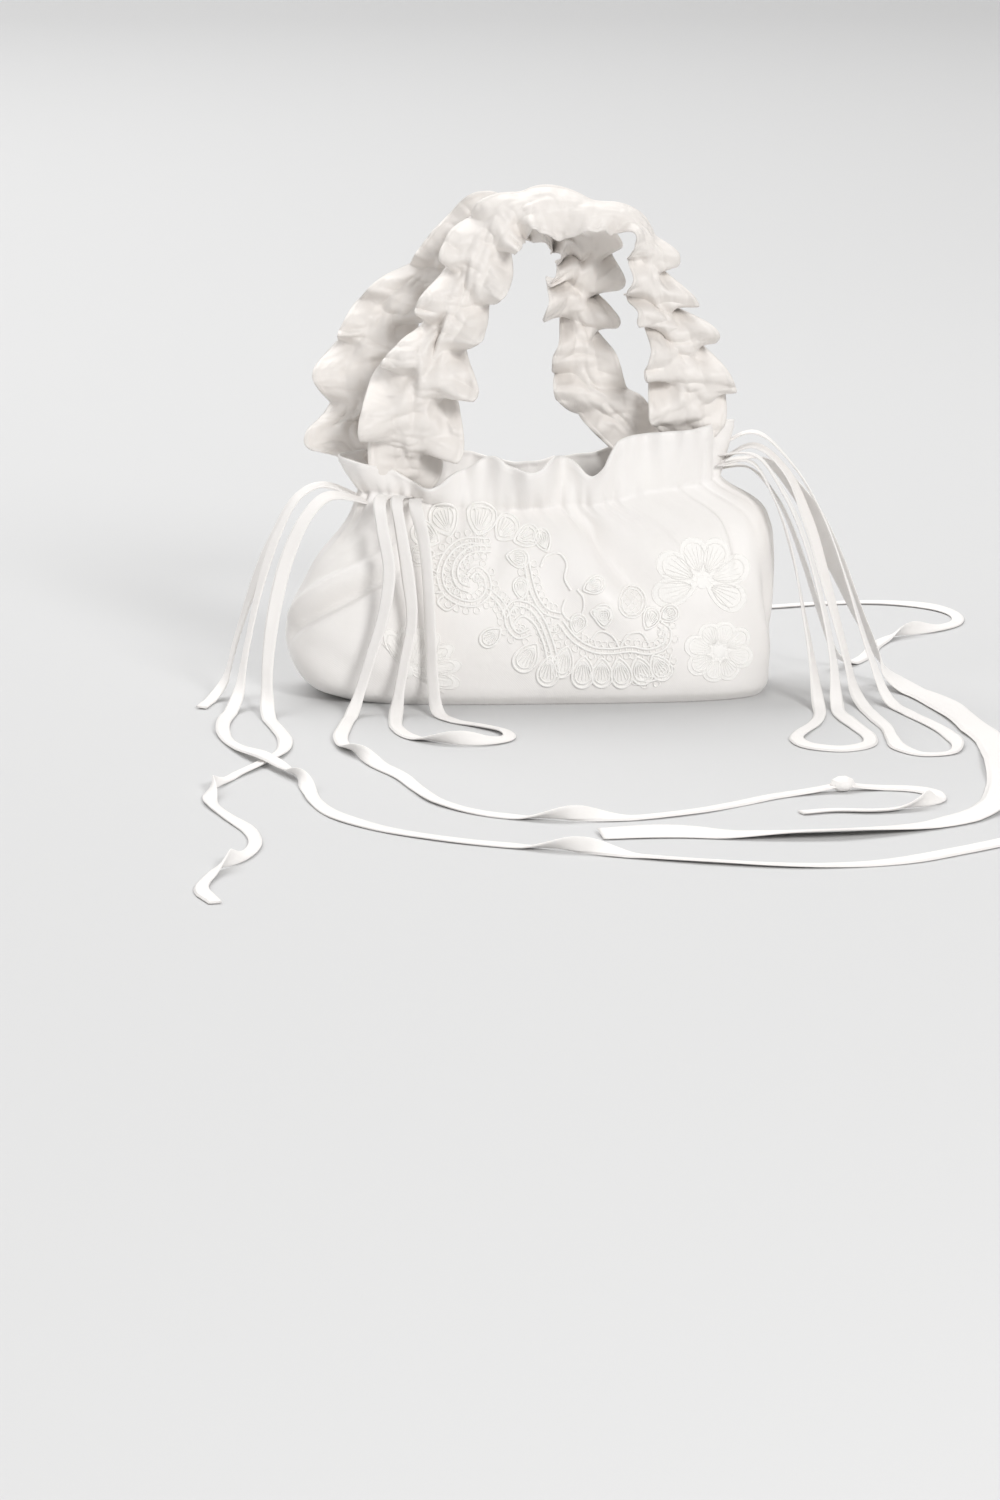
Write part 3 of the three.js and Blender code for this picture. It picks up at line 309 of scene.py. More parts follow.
# The lace's stems on the pouch's front, as places across and up in tenths of a millimetre. A pair is
# two cords side by side with short bars between them.
LACE_VINES = (
    ("pair", [
        (-370, 877), (-512, 877), (-596, 820), (-640, 723), (-618, 630), (-537, 575), (-445, 569),
        (-385, 624), (-391, 701), (-445, 740), (-488, 707),
    ]),
    ("pair", [(-362, 839), (-459, 839), (-531, 795), (-559, 723), (-537, 663), (-483, 641)]),
    ("single", [(-612, 825), (-678, 800), (-694, 751), (-645, 718)]),
    ("single", [(-645, 712), (-705, 679), (-694, 630), (-624, 624)]),
    ("single", [(-613, 619), (-656, 575), (-607, 531), (-542, 569)]),
    ("pair", [(-385, 630), (-331, 586), (-288, 520), (-271, 443), (-223, 393), (-158, 415)]),
    ("pair", [(-299, 498), (-244, 564), (-158, 547), (-98, 476), (-60, 388), (-33, 300), (-17, 212)]),
    ("single", [(-255, 443), (-206, 498), (-147, 470), (-103, 393), (-76, 311), (-66, 234)]),
    ("pair", [(-174, 795), (-158, 696), (-131, 602), (-76, 525), (5, 498)]),
    ("single", [(-98, 751), (-66, 806), (6, 820), (43, 773), (32, 696), (64, 635)]),
    ("single", [(32, 586), (16, 520), (64, 470), (124, 514), (129, 597), (97, 641)]),
    ("pair", [
        (5, 465), (81, 371), (178, 316), (281, 305), (384, 316), (487, 300), (574, 333), (590, 404),
        (541, 443),
    ]),
    ("single", [(167, 360), (216, 415), (281, 393), (324, 322)]),
    ("single", [(330, 333), (373, 399), (438, 404), (482, 344)]),
    ("pair", [(590, 283), (568, 201), (492, 146), (417, 168)]),
)

# The lace's petals: the root of each, its length and its width in tenths of a millimetre, and the way
# it points in degrees from the right.
LACE_PETALS = table(
    "right up long wide lean",
    (-574, 905, 140, 130, 112),
    (-432, 908, 140, 135, 72),
    (-325, 888, 122, 106, 45),
    (-641, 872, 130, 100, 152),
    (-666, 818, 116, 82, 188),
    (-235, 877, 120, 87, 20),
    (-277, 806, 98, 76, -10),
    (-125, 349, 147, 104, -125),
    (-44, 283, 142, 98, -100),
    (43, 333, 147, 93, -105),
    (135, 278, 147, 98, -95),
    (227, 267, 136, 93, -88),
    (319, 267, 142, 93, -80),
    (417, 272, 136, 93, -72),
    (503, 278, 131, 93, -58),
    (86, 399, 93, 71, 75),
    (243, 432, 109, 82, 95),
    (465, 421, 98, 76, 60),
    (547, 465, 93, 71, 30),
    (-320, 432, 109, 76, -140),
    (-201, 586, 93, 65, 95),
    (-59, 829, 98, 71, 110),
    (129, 641, 98, 71, 20),
    (167, 520, 93, 65, -10),
)

# Height of the dense stitches inside a petal, in metres.
PAD_HIGH = 0.0005

# Radii of the lace's cords in metres: stems and rims, bars between a pair, picots, the net's rings and
# its bars. Then the distance of a pair's cords from their middle line, and a picot's length.
STEM, BAR, PICOT, NET_RING, NET_BAR = 0.0007, 0.00035, 0.00042, 0.00055, 0.0003
PAIR_HALF, PICOT_LONG = 0.0014, 0.0036

# The open flower of the lace, netted across, as across, up and radius.
LACE_NET = (0.0395, 0.0564, 0.0078)

# The raised patches of finer lace that replace the CAD's: places of the petals' common root, their
# number, the length and width of each, the share of a full turn that they fan over, where they begin
# and how boldly they stand out.
LACE_PATCHES = {
    "lace_leaf": (-0.0820, 0.0200, 7, 0.027, 0.009, 0.42, -0.04, 0.8),
    "lace_flower": (0.0872, 0.0283, 8, 0.0175, 0.0125, 1.0, 0.08, 0.8),
    "lace_petals": (0.0780, 0.0660, 6, 0.026, 0.016, 0.75, -0.08, 0.5),
}


def length(name, default, description):
    """A size in metres."""
    return bpy.props.FloatProperty(name=name, default=default, description=description, unit="LENGTH")


def ivory(name, default, description):
    """A colour as an sRGB hex value."""
    return bpy.props.StringProperty(name=name, default=default, description=description)


class HandbagSizes(bpy.types.PropertyGroup):
    """The sizes of the handbag that a user would change."""

    base_length: length("Base length", 0.232, "Length of the flat base")
    base_depth: length("Base depth", 0.104, "Depth of the flat base")
    casing_height: length("Casing height", 0.111, "Height of the drawn casing")
    mouth_length: length("Mouth length", 0.2, "Length of the drawn mouth")
    mouth_gap: length("Mouth gap", 0.048, "Gap between the mouth's sides")
    mouth_shift: length("Mouth shift", -0.007, "How far the mouth lies to the right")
    frill_height: length("Frill height", 0.024, "Height of the frill above the casing")
    frill_ruffle: length("Frill ruffle", 0.0072, "Depth of the frill's waves")
    frill_flare: length("Frill flare", 0.012, "How far the frill leans out")
    frill_waves: bpy.props.IntProperty(
        name="Frill waves", default=10, description="Waves of the frill round the mouth"
    )
    pouch_cloth: length("Pouch cloth", 0.0016, "Thickness of the lined wall")
    handle_top: length("Handle top", 0.262, "Height of the handles' middle line")
    handle_span: length("Handle span", 0.17, "Distance between a handle's ends")
    handle_spread: length("Handle spread", 0.019, "How far each handle leans from the middle")
    strap_cloth: length("Strap cloth", 0.0009, "Thickness of a handle's cloth")
    strap_ruffle: length("Strap ruffle", 0.0075, "Depth of the handles' frills")
    strap_bow: length("Strap bow", 0.008, "How far a strap's middle stands out")
    tie_width: length("Tie width", 0.008, "Width of the flat ties")
    sash_width: length("Sash width", 0.02, "Width of the broad tie")
    tie_thickness: length("Tie thickness", 0.0012, "Thickness of the folded ties")


class HandbagColours(bpy.types.PropertyGroup):
    """The colours of the handbag and of its stage."""

    satin: ivory("Satin", "F1EEEC", "Ivory of the satin")
    # A darker ivory for the handles' crushed satin: painted shade on the same satin as the pouch's.
    gathered: ivory("Gathered", "E7E2DD", "Ivory of the satin where its creases shade it")
    lace: ivory("Lace", "F5F3F0", "Ivory of the lace's thread")
    tape: ivory("Tape", "EDEAE6", "Ivory of the folded ties")
    floor: ivory("Floor", "CFCFCF", "Grey of the stage's floor")


def smooth_read(rows, key, column, at):
    """One column of a table, read smoothly at a place in another column."""
    last = len(rows) - 1
    i = 0
    while i < last - 1 and at > rows[i + 1][column]:
        i += 1

    def row(k):
        return rows[min(max(k, 0), last)]

    def slope(k):
        before, after = row(k - 1), row(k + 1)
        return (after[key] - before[key]) / max(after[column] - before[column], 1e-9)

    a, b = rows[i], rows[i + 1]
    span = b[column] - a[column]
    t = min(max((at - a[column]) / span, 0.0), 1.0)
    t2, t3 = t * t, t * t * t
    return (
        (2 * t3 - 3 * t2 + 1) * a[key]
        + (t3 - 2 * t2 + t) * span * slope(i)
        + (3 * t2 - 2 * t3) * b[key]
        + (t3 - t2) * span * slope(i + 1)
    )


def round_mouth(key, turn):
    """One column of the mouth's table, which closes on itself."""
    rows = MOUTH_LINE
    before = [{**r, "turn": r["turn"] - 1} for r in rows[-2:]]
    after = [{**r, "turn": r["turn"] + 1} for r in rows[:2]]
    return smooth_read(before + rows + after, key, "turn", turn - math.floor(turn))


def go_to(mode):
    bpy.ops.object.mode_set(mode=mode)


def deselect():
    """Nothing is selected or active, and Blender is in object mode."""
    if bpy.context.object and bpy.context.object.mode != "OBJECT":
        go_to("OBJECT")
    bpy.ops.object.select_all(action="DESELECT")
    bpy.context.view_layer.objects.active = None


def pick(piece):
    """Only this piece is selected, and it is active."""
    deselect()
    piece.select_set(True)
    bpy.context.view_layer.objects.active = piece


def lay_grid(name, rows, closed=False, capped=False):
    """A grid whose points are laid on rows of places. A closed grid joins its long sides, and a capped
    one also closes its two ends. Its UV map gives metres along and across."""
    deselect()
    tall, wide = len(rows) - 1, len(rows[0]) - (0 if closed else 1)
    bpy.ops.mesh.primitive_grid_add(x_subdivisions=wide, y_subdivisions=tall, size=2)
    piece = bpy.context.object
    piece.name = piece.data.name = name
    mesh = piece.data
    along = np.array([list(map(tuple, row)) for row in rows], float)
    if closed:
        along = np.concatenate([along, along[:, :1]], axis=1)
    co = np.zeros(len(mesh.vertices) * 3)
    mesh.vertices.foreach_get("co", co)
    co = co.reshape(-1, 3)
    k = np.rint((co[:, 0] + 1) / 2 * wide).astype(int)
    i = np.rint((co[:, 1] + 1) / 2 * tall).astype(int)
    mesh.vertices.foreach_set("co", along[i, k].ravel())
    middle = along[:, along.shape[1] // 2]
    run = np.concatenate([[0], np.cumsum(np.linalg.norm(np.diff(middle, axis=0), axis=1))])
    widths = np.linalg.norm(np.diff(along, axis=1), axis=2)
    side = np.concatenate([[0], np.cumsum(widths.max(axis=0))])
    corner = np.zeros(len(mesh.loops), int)
    mesh.loops.foreach_get("vertex_index", corner)
    uv = np.stack([run[i[corner]], side[k[corner]]], -1)
    mesh.uv_layers.active.data.foreach_set("uv", uv.ravel())
    mesh.update()
    pick(piece)
    go_to("EDIT")
    bpy.ops.mesh.select_all(action="SELECT")
    if closed:
        bpy.ops.mesh.remove_doubles(threshold=1e-6)
    if capped:
        bpy.ops.mesh.select_all(action="DESELECT")
        bpy.ops.mesh.select_non_manifold(extend=False)
        bpy.ops.mesh.edge_face_add()
        bpy.ops.mesh.select_all(action="SELECT")
        bpy.ops.mesh.normals_make_consistent(inside=False)
    go_to("OBJECT")
    bpy.ops.object.shade_smooth()
    return piece


def finish_with(piece, kind, **settings):
    """Adds one modifier to the piece and applies it."""
    pick(piece)
    modifier = piece.modifiers.new(kind.title(), kind)
    for key, value in settings.items():
        setattr(modifier, key, value)
    bpy.ops.object.modifier_apply(modifier=modifier.name)


def colour_of(text):
    """An sRGB hex value as a linear colour."""
    parts = [int(text[i : i + 2], 16) / 255 for i in (0, 2, 4)]
    linear = [c / 12.92 if c <= 0.04045 else ((c + 0.055) / 1.055) ** 2.4 for c in parts]
    return (*linear, 1.0)


def add_node(tree, kind, inputs=(), **settings):
    """Adds a node with its settings. inputs pairs each socket with a value or with another's output."""
    node = tree.nodes.new(kind)
    for key, value in settings.items():
        setattr(node, key, value)
    for socket, value in dict(inputs).items():
        if isinstance(value, bpy.types.NodeSocket):
            tree.links.new(value, node.inputs[socket])
        else:
            node.inputs[socket].default_value = value
    return node


def new_material(name):
    """An empty node material, with its tree and its Principled shader."""
    material = bpy.data.materials.get(name)
    if material:
        return material, None, None
    material = bpy.data.materials.new(name)
    material.use_nodes = True
    tree = material.node_tree
    return material, tree, tree.nodes["Principled BSDF"]


def add_noise(tree, place, scale, detail=2.0, distortion=0.0, **settings):
    """Adds a noise texture, and gives its value."""
    inputs = {"Vector": place, "Scale": scale, "Detail": detail, "Distortion": distortion}
    return add_node(tree, "ShaderNodeTexNoise", inputs, **settings).outputs["Fac"]


def add_tint(tree, shader, share, first, second):
    """Tints the shader between two colours."""
    colours = {"Factor": share, "A": colour_of(first), "B": colour_of(second)}
    mix = add_node(tree, "ShaderNodeMix", colours, data_type="RGBA")
    tree.links.new(mix.outputs["Result"], shader.inputs["Base Color"])


def add_bumps(tree, shader, *bumps):
    """Gives the shader bumps one over another, each a height, its depth in metres and its strength."""
    under = {}
    for height, depth, strength in bumps:
        inputs = {"Height": height, "Distance": depth, "Strength": strength, **under}
        under = {"Normal": add_node(tree, "ShaderNodeBump", inputs).outputs[0]}
    tree.links.new(under["Normal"], shader.inputs["Normal"])


def set_values(shader, values):
    for socket, value in values.items():
        shader.inputs[socket].default_value = value


def satin_material(colours, crush_with_painted_shade=0.0):
    """Polyester satin, woven with long floats and pressed: smooth, ivory, with a broad soft sheen and
    faint creases from handling. Where it was gathered it is crushed too, with sharp creases all over,
    and its ivory is painted darker throughout as shade."""
    material, tree, shader = new_material(f"{'Crushed_painted_shade' if crush_with_painted_shade else 'Pressed'} polyester satin")
    if tree is None:
        return material
    place = add_node(tree, "ShaderNodeTexCoord").outputs["Object"]
    # Creases from handling, 20 to 30 mm apart, and finer puckers of about 7 mm.
    broad = add_noise(tree, place, 38.0, 3.0, 0.6)
    fine = add_noise(tree, place, 150.0, 2.0, 0.3)
    # The sharp creases of the crushed cloth, about 12 mm apart.
    sharp = add_noise(tree, place, 62.0, 1.5, 1.2, noise_type="RIDGED_MULTIFRACTAL")
    # The floats of the weave are 0.1 mm apart, and are drawn 0.6 mm apart so that they show.
    floats = {"Vector": place, "Scale": 520.0, "Distortion": 1.5, "Detail": 1.0}
    weave = add_node(tree, "ShaderNodeTexWave", floats, bands_direction="DIAGONAL").outputs["Fac"]
    # Crushed satin takes the darker ivory throughout, which is painted shade. Pressed satin is tinted at
    # random between its own ivory and the tape's.
    pair = (colours.gathered, colours.gathered) if crush_with_painted_shade else (colours.satin, colours.tape)
    add_tint(tree, shader, broad, *pair)
    creases = ((sharp, 0.003, crush_with_painted_shade), (broad, 0.0013, 0.5), (fine, 0.00035, 0.5))
    add_bumps(tree, shader, *creases, (weave, 0.00006, 0.4))
    sheen = {"Sheen Weight": 0.25, "Sheen Roughness": 0.4, "Anisotropic": 0.3}
    set_values(shader, {"Roughness": 0.46, "Specular IOR Level": 0.45, **sheen})
    return material


def tape_material(colours):
    """Folded satin tape with a cotton back, pressed flat: matt, warmer, with a fine lengthwise grain."""
    material, tree, shader = new_material("Folded satin tape")
    if tree is None:
        return material
    # The UV map is in metres: the grain runs along the tape, 0.5 mm apart.
    place = add_node(tree, "ShaderNodeTexCoord").outputs["UV"]
    grain = add_node(tree, "ShaderNodeMapping", {"Vector": place, "Scale": (60.0, 2000.0, 1.0)})
    threads = add_noise(tree, grain.outputs[0], 1.0)
    # Soft creases across the tape, 15 to 30 mm apart.
    across = add_node(tree, "ShaderNodeMapping", {"Vector": place, "Scale": (60.0, 90.0, 1.0)})
    creases = add_noise(tree, across.outputs[0], 1.0, 3.0)
    add_tint(tree, shader, threads, colours.tape, colours.satin)
    add_bumps(tree, shader, (creases, 0.0012, 0.6), (threads, 0.0001, 0.5))
    set_values(shader, {"Roughness": 0.62, "Specular IOR Level": 0.35, "Sheen Weight": 0.2})
    return material


def lace_material(colours):
    """Corded cotton lace, embroidered and matt, with the small lumps of its stitches."""
    material, tree, shader = new_material("Corded cotton lace")
    if tree is None:
        return material
    place = add_node(tree, "ShaderNodeTexCoord").outputs["Object"]
    # Satin stitches 0.25 mm apart, drawn 0.8 mm apart so that they show.
    add_bumps(tree, shader, (add_noise(tree, place, 1300.0, 1.0), 0.0003, 0.7))
    white = colour_of(colours.lace)
    set_values(shader, {"Base Color": white, "Roughness": 0.85, "Specular IOR Level": 0.25})
    return material


def dress(piece, material, slot, *nodes):
    """The piece gets its material, rides on the bag's one body and stands for its CAD nodes."""
    piece.data.materials.clear()
    piece.data.materials.append(material)
    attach(piece, "root")
    if nodes:
        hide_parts(*nodes)


def curve_through(points, step):
    """Places spaced evenly by about step along a smooth curve through the points."""
    p = np.array(points, float)
    ends = np.concatenate([[2 * p[0] - p[1]], p, [2 * p[-1] - p[-2]]])
    knots = np.concatenate([[0], np.cumsum(np.linalg.norm(np.diff(ends, axis=0), axis=1) ** 0.5)])
    dense = []
    for i in range(1, len(ends) - 2):
        p0, p1, p2, p3 = ends[i - 1 : i + 3]
        t0, t1, t2, t3 = knots[i - 1 : i + 3]
        for t in np.linspace(t1, t2, 40, endpoint=False):
            a1 = (t1 - t) / (t1 - t0) * p0 + (t - t0) / (t1 - t0) * p1
            a2 = (t2 - t) / (t2 - t1) * p1 + (t - t1) / (t2 - t1) * p2
            a3 = (t3 - t) / (t3 - t2) * p2 + (t - t2) / (t3 - t2) * p3
            b1 = (t2 - t) / (t2 - t0) * a1 + (t - t0) / (t2 - t0) * a2
            b2 = (t3 - t) / (t3 - t1) * a2 + (t - t1) / (t3 - t1) * a3
            dense.append((t2 - t) / (t2 - t1) * b1 + (t - t1) / (t2 - t1) * b2)
    dense.append(p[-1])
    dense = np.array(dense)
    run = np.concatenate([[0], np.cumsum(np.linalg.norm(np.diff(dense, axis=0), axis=1))])
    count = max(int(round(run[-1] / step)), 2)
    at = np.linspace(0, run[-1], count + 1)
    return np.stack([np.interp(at, run, dense[:, k]) for k in range(3)], -1)


def unit(v):
    return v / np.maximum(np.linalg.norm(v, axis=-1, keepdims=True), 1e-12)


def tie_route(name):
    """A tie's middle line in metres, as places spaced evenly along it."""
    on_surface = [1]
    points = [(x, y, *(up or on_surface)) for x, y, *up in TIE_ROUTES[name]]
    return curve_through(np.array(points) / 1000, TIE_STEP)


def tie_frame(route, turns, width, thickness):
    """The route raised to lie on the surface, and the tape's across and face directions along it. The
    face looks up where the tape lies and outward where it hangs, and turns as its table says."""
    tangent = unit(np.gradient(route, axis=0))
    share = np.linspace(0, 1, len(route))
    half_turns = np.interp(share, [t for t, _ in turns], [h for _, h in turns])
    # The tape also rocks by up to 0.16 of a half turn.
    run = np.arange(len(route)) * TIE_STEP
    half_turns = half_turns + [0.16 * noise.noise(Vector((s * 9, width * 99, turns[-1][0]))) for s in run]
    smooth = np.convolve(np.pad(half_turns, 6, mode="edge"), np.ones(13) / 13, mode="valid")
    hang = np.abs(tangent[:, 2:3]) ** 2
    outward = unit(route * (0.6, 1, 0) + (0, 1e-6, 0))
    face = outward * hang + np.array([0, 0, 1.0]) * (1 - hang)
    face = unit(face - tangent * np.sum(face * tangent, axis=1, keepdims=True))
    across = np.cross(tangent, face)
    c, s = np.cos(smooth * math.pi)[:, None], np.sin(smooth * math.pi)[:, None]
    across, face = across * c + face * s, face * c - across * s
    low = np.abs(across[:, 2]) * width / 2 + np.abs(face[:, 2]) * thickness / 2
    raised = route.copy()
    raised[:, 2] = np.maximum(route[:, 2], low + 0.2 * MM)
    return raised, across, face


def tie_piece(name, sizes):
    """One folded tape along its route, and the places of its rings' centres."""
    width = sizes.sash_width if name == "tie_right_sash" else sizes.tie_width
    thickness = sizes.tie_thickness
    centre, across, face = tie_frame(tie_route(name), TIE_TURNS[name], width, thickness)
    seed = 7.0 * list(TIE_ROUTES).index(name)
    # How much the tape narrows where it is creased, and how much it cups.
    pinch, cupping = 0.45, 0.35 * thickness
    rows = []
    for i, (p, a, f) in enumerate(zip(centre, across, face)):
        s = i * TIE_STEP
        narrow = 1 - pinch * abs(noise.noise(Vector((s * 13, seed, 0))))
        cup = cupping * noise.noise(Vector((s * 22, seed, 5)))
        row = []
        for corner in TAPE_SECTION:
            u, v = corner["across"], corner["thick"]
            row.append(p + a * (u * narrow * width / 2) + f * (v * thickness / 2 + cup * u * u))
        rows.append(row)
    piece = lay_grid(name + "_tape", rows, closed=True, capped=True)
    return piece, centre, width


class HANDBAG_OT_stage(bpy.types.Operator):
    """Makes the camera, the pale floor with its backdrop and the soft studio lights"""

    bl_idname = "handbag.stage"
    bl_label = "Stage"

    def execute(self, context):
        colours = context.scene.handbag_colours
        # The photograph's eye: 3 m away, 10.5 degrees above and 4 degrees to the left of the front.
        # It is turned so that the origin stands 52 pixels to the right of the frame's middle, 62 above.
        away, azimuth, elevation = 3.0, math.radians(-4), math.radians(10.5)
        focal_pixels, frame_height, sensor_height = 5450, 1500, 36
        off_centre = (52 / focal_pixels, 62 / focal_pixels)
        right = Vector((math.cos(azimuth), math.sin(azimuth), 0))
        level = Vector((-math.sin(azimuth), math.cos(azimuth), 0))
        look = level * math.cos(elevation) - Vector((0, 0, math.sin(elevation)))
        up = right.cross(look)
        aim = (look - right * off_centre[0] - up * off_centre[1]).normalized()
        deselect()
        bpy.ops.object.camera_add(location=-look * away)
        camera = context.object
        camera.name = "camera"
        camera.rotation_euler = aim.to_track_quat("-Z", "Y").to_euler()
        camera.data.sensor_width = sensor_height
        camera.data.lens = sensor_height * focal_pixels / frame_height
        camera.data.clip_end = 30
        context.scene.camera = camera

        # A floor that runs up into a wall behind, both far enough for a view from any side.
        floor_side, wall_height, cove = 18, 6, 3
        deselect()
        bpy.ops.mesh.primitive_plane_add(size=floor_side, location=(0, 0, 0))
        floor = context.object
        floor.name = "studio_floor"
        go_to("EDIT")
        bpy.ops.mesh.select_mode(type="EDGE")
        bpy.ops.mesh.select_all(action="DESELECT")
        go_to("OBJECT")
        for edge in floor.data.edges:
            edge.select = all(floor.data.vertices[v].co.y > 0 for v in edge.vertices)
        go_to("EDIT")
        bpy.ops.mesh.extrude_region_move(TRANSFORM_OT_translate={"value": (0, 0, wall_height)})
        go_to("OBJECT")
        finish_with(floor, "BEVEL", width=cove, segments=16, angle_limit=math.radians(40))
        bpy.ops.object.shade_smooth()
        material, tree, shader = new_material("Painted studio floor")
        # Matt wall paint, rolled on: pale grey, with the roller's faint stipple.
        place = add_node(tree, "ShaderNodeTexCoord").outputs["Object"]
        add_bumps(tree, shader, (add_noise(tree, place, 400.0), 0.0003, 0.2))
        set_values(shader, {"Base Color": colour_of(colours.floor), "Roughness": 0.7})
        floor.data.materials.append(material)

        lights = table(
            "x y z aim_y aim_z size power",
            (1.2, -3.2, 1.8, -0.05, 0.1, 1.0, 73),
            (-1.9, -1.0, 1.1, -0.05, 0.1, 1.6, 4),
            (0.5, 0.8, 2.0, -0.05, 0.1, 1.2, 7),
            (-1.8, 3.4, 4.4, 4.4, 0.0, 6.0, 262),
        )
        for number, light in enumerate(lights):
            spot = Vector((light["x"], light["y"], light["z"]))
            turn = (Vector((0, light["aim_y"], light["aim_z"])) - spot).to_track_quat("-Z", "Y")
            bpy.ops.object.light_add(type="AREA", location=spot, rotation=turn.to_euler())
            lamp = context.object
            lamp.name = f"softbox_{number}"
            lamp.data.shape = "DISK"
            lamp.data.size = light["size"]
            lamp.data.energy = light["power"]
        world = bpy.data.worlds.new("studio")
        world.use_nodes = True
        background = world.node_tree.nodes["Background"]
        background.inputs["Color"].default_value = (1.0, 0.995, 0.992, 1)
        background.inputs["Strength"].default_value = 0.46
        context.scene.world = world
        context.scene.view_settings.view_transform = "Standard"
        return {"FINISHED"}


class HANDBAG_OT_ties(bpy.types.Operator):
    """Makes the long flat ties along their routes, each a folded tape that turns on itself"""

    bl_idname = "handbag.ties"
    bl_label = "Ties"

    def execute(self, context):
        sizes, colours = context.scene.handbag_sizes, context.scene.handbag_colours
        material = tape_material(colours)
        for name in TIE_ROUTES:
            piece, centre, width = tie_piece(name, sizes)
            dress(piece, material, "tape", name)
        return {"FINISHED"}


def outline(section, count, sizes):
    """Places round a section's outline, spaced evenly along it, as [across, back] pairs. It starts at
    the right end and runs by way of the back."""
    mouth_left = sizes.mouth_length / 2 - sizes.mouth_shift
    mouth_right = sizes.mouth_length / 2 + sizes.mouth_shift

    def pull(share, base, mouth):
        return share * base / 2 * (1 - section["drawn"]) + mouth * section["drawn"]

    left = pull(section["left"], sizes.base_length, mouth_left)
    right = pull(section["right"], sizes.base_length, mouth_right)
    deep = pull(section["deep"], sizes.base_depth, sizes.mouth_gap / 2)
    angle = np.radians(np.arange(1441) / 4)
    c, s = np.cos(angle), np.sin(angle)
    power = 2 / section["square"]
    x = np.where(c > 0, right, left) * np.sign(c) * np.abs(c) ** power
    y = deep * np.sign(s) * np.abs(s) ** power
    run = np.concatenate([[0], np.cumsum(np.hypot(np.diff(x), np.diff(y)))])
    at = np.arange(count) / count * run[-1]
    return np.stack([np.interp(at, run, x), np.interp(at, run, y)], -1)


def fold_depth(turn, height, sizes):
    """How far the folds push the wall in at places round and up the pouch."""
    depth = np.zeros_like(turn)
    round_length = 2 * (sizes.base_length + sizes.base_depth)

    def wrap(x):
        return x - np.rint(x)

    for fold in POUCH_FOLDS:
        dx = wrap(fold["to_turn"] - fold["from_turn"]) * round_length
        dz = (fold["to_height"] - fold["from_height"]) * sizes.casing_height
        long = math.hypot(dx, dz)
        px = wrap(turn - fold["from_turn"]) * round_length
        pz = (height - fold["from_height"]) * sizes.casing_height
        t = (px * dx + pz * dz) / long**2
        past = np.maximum(0, np.maximum(-t, t - 1)) * long
        wide = fold["wide"] * sizes.base_depth
        side = (px * dz - pz * dx) / long / wide
        fade = np.exp(-((past / wide / 1.5) ** 2)) * np.sin(math.pi * (0.15 + 0.7 * np.clip(t, 0, 1)))
        shape = np.exp(-(side**2)) - fold["ridge"] * np.exp(-(((side - 2) / 1.1) ** 2))
        depth += fold["deep"] * sizes.base_depth * shape * fade
    return depth


def gather_depth(turn, height, pull):
    """How far the casing's gathers push the wall in at a share of its height. Each is a pleat of its own
    width, length and lean, and pull says how tightly the cord draws the cloth there."""
    dice = random.Random(11)
    count, mouth_round, deepest = 66, 0.47, 0.0028
    depth = np.zeros_like(turn)
    for i in range(count):
        place = (i + 0.7 * dice.random()) / count
        strength, wide = dice.uniform(0.35, 1.0), dice.uniform(0.0016, 0.0032)
        reach, lean = dice.uniform(0.1, 0.42), dice.uniform(-0.03, 0.03)
        grow = max(0, 1 - (1 - height) / reach)
        if grow == 0:
            continue
        away = turn - place - lean * (1 - height)
        away = (away - np.rint(away)) * mouth_round / (wide * (1 + 1.5 * (1 - height)))
        depth += deepest * strength * grow**1.3 * np.exp(-(away**2))
    return depth * pull


def frill_wave(turn, waves):
    """The frill's waves: each is a little longer or shorter than the next."""
    wander = 0.35 * np.sin(2 * math.pi * (2 * turn + 0.1)) + 0.2 * np.sin(2 * math.pi * 5 * turn)
    return np.sin(2 * math.pi * waves * turn + wander * 2)


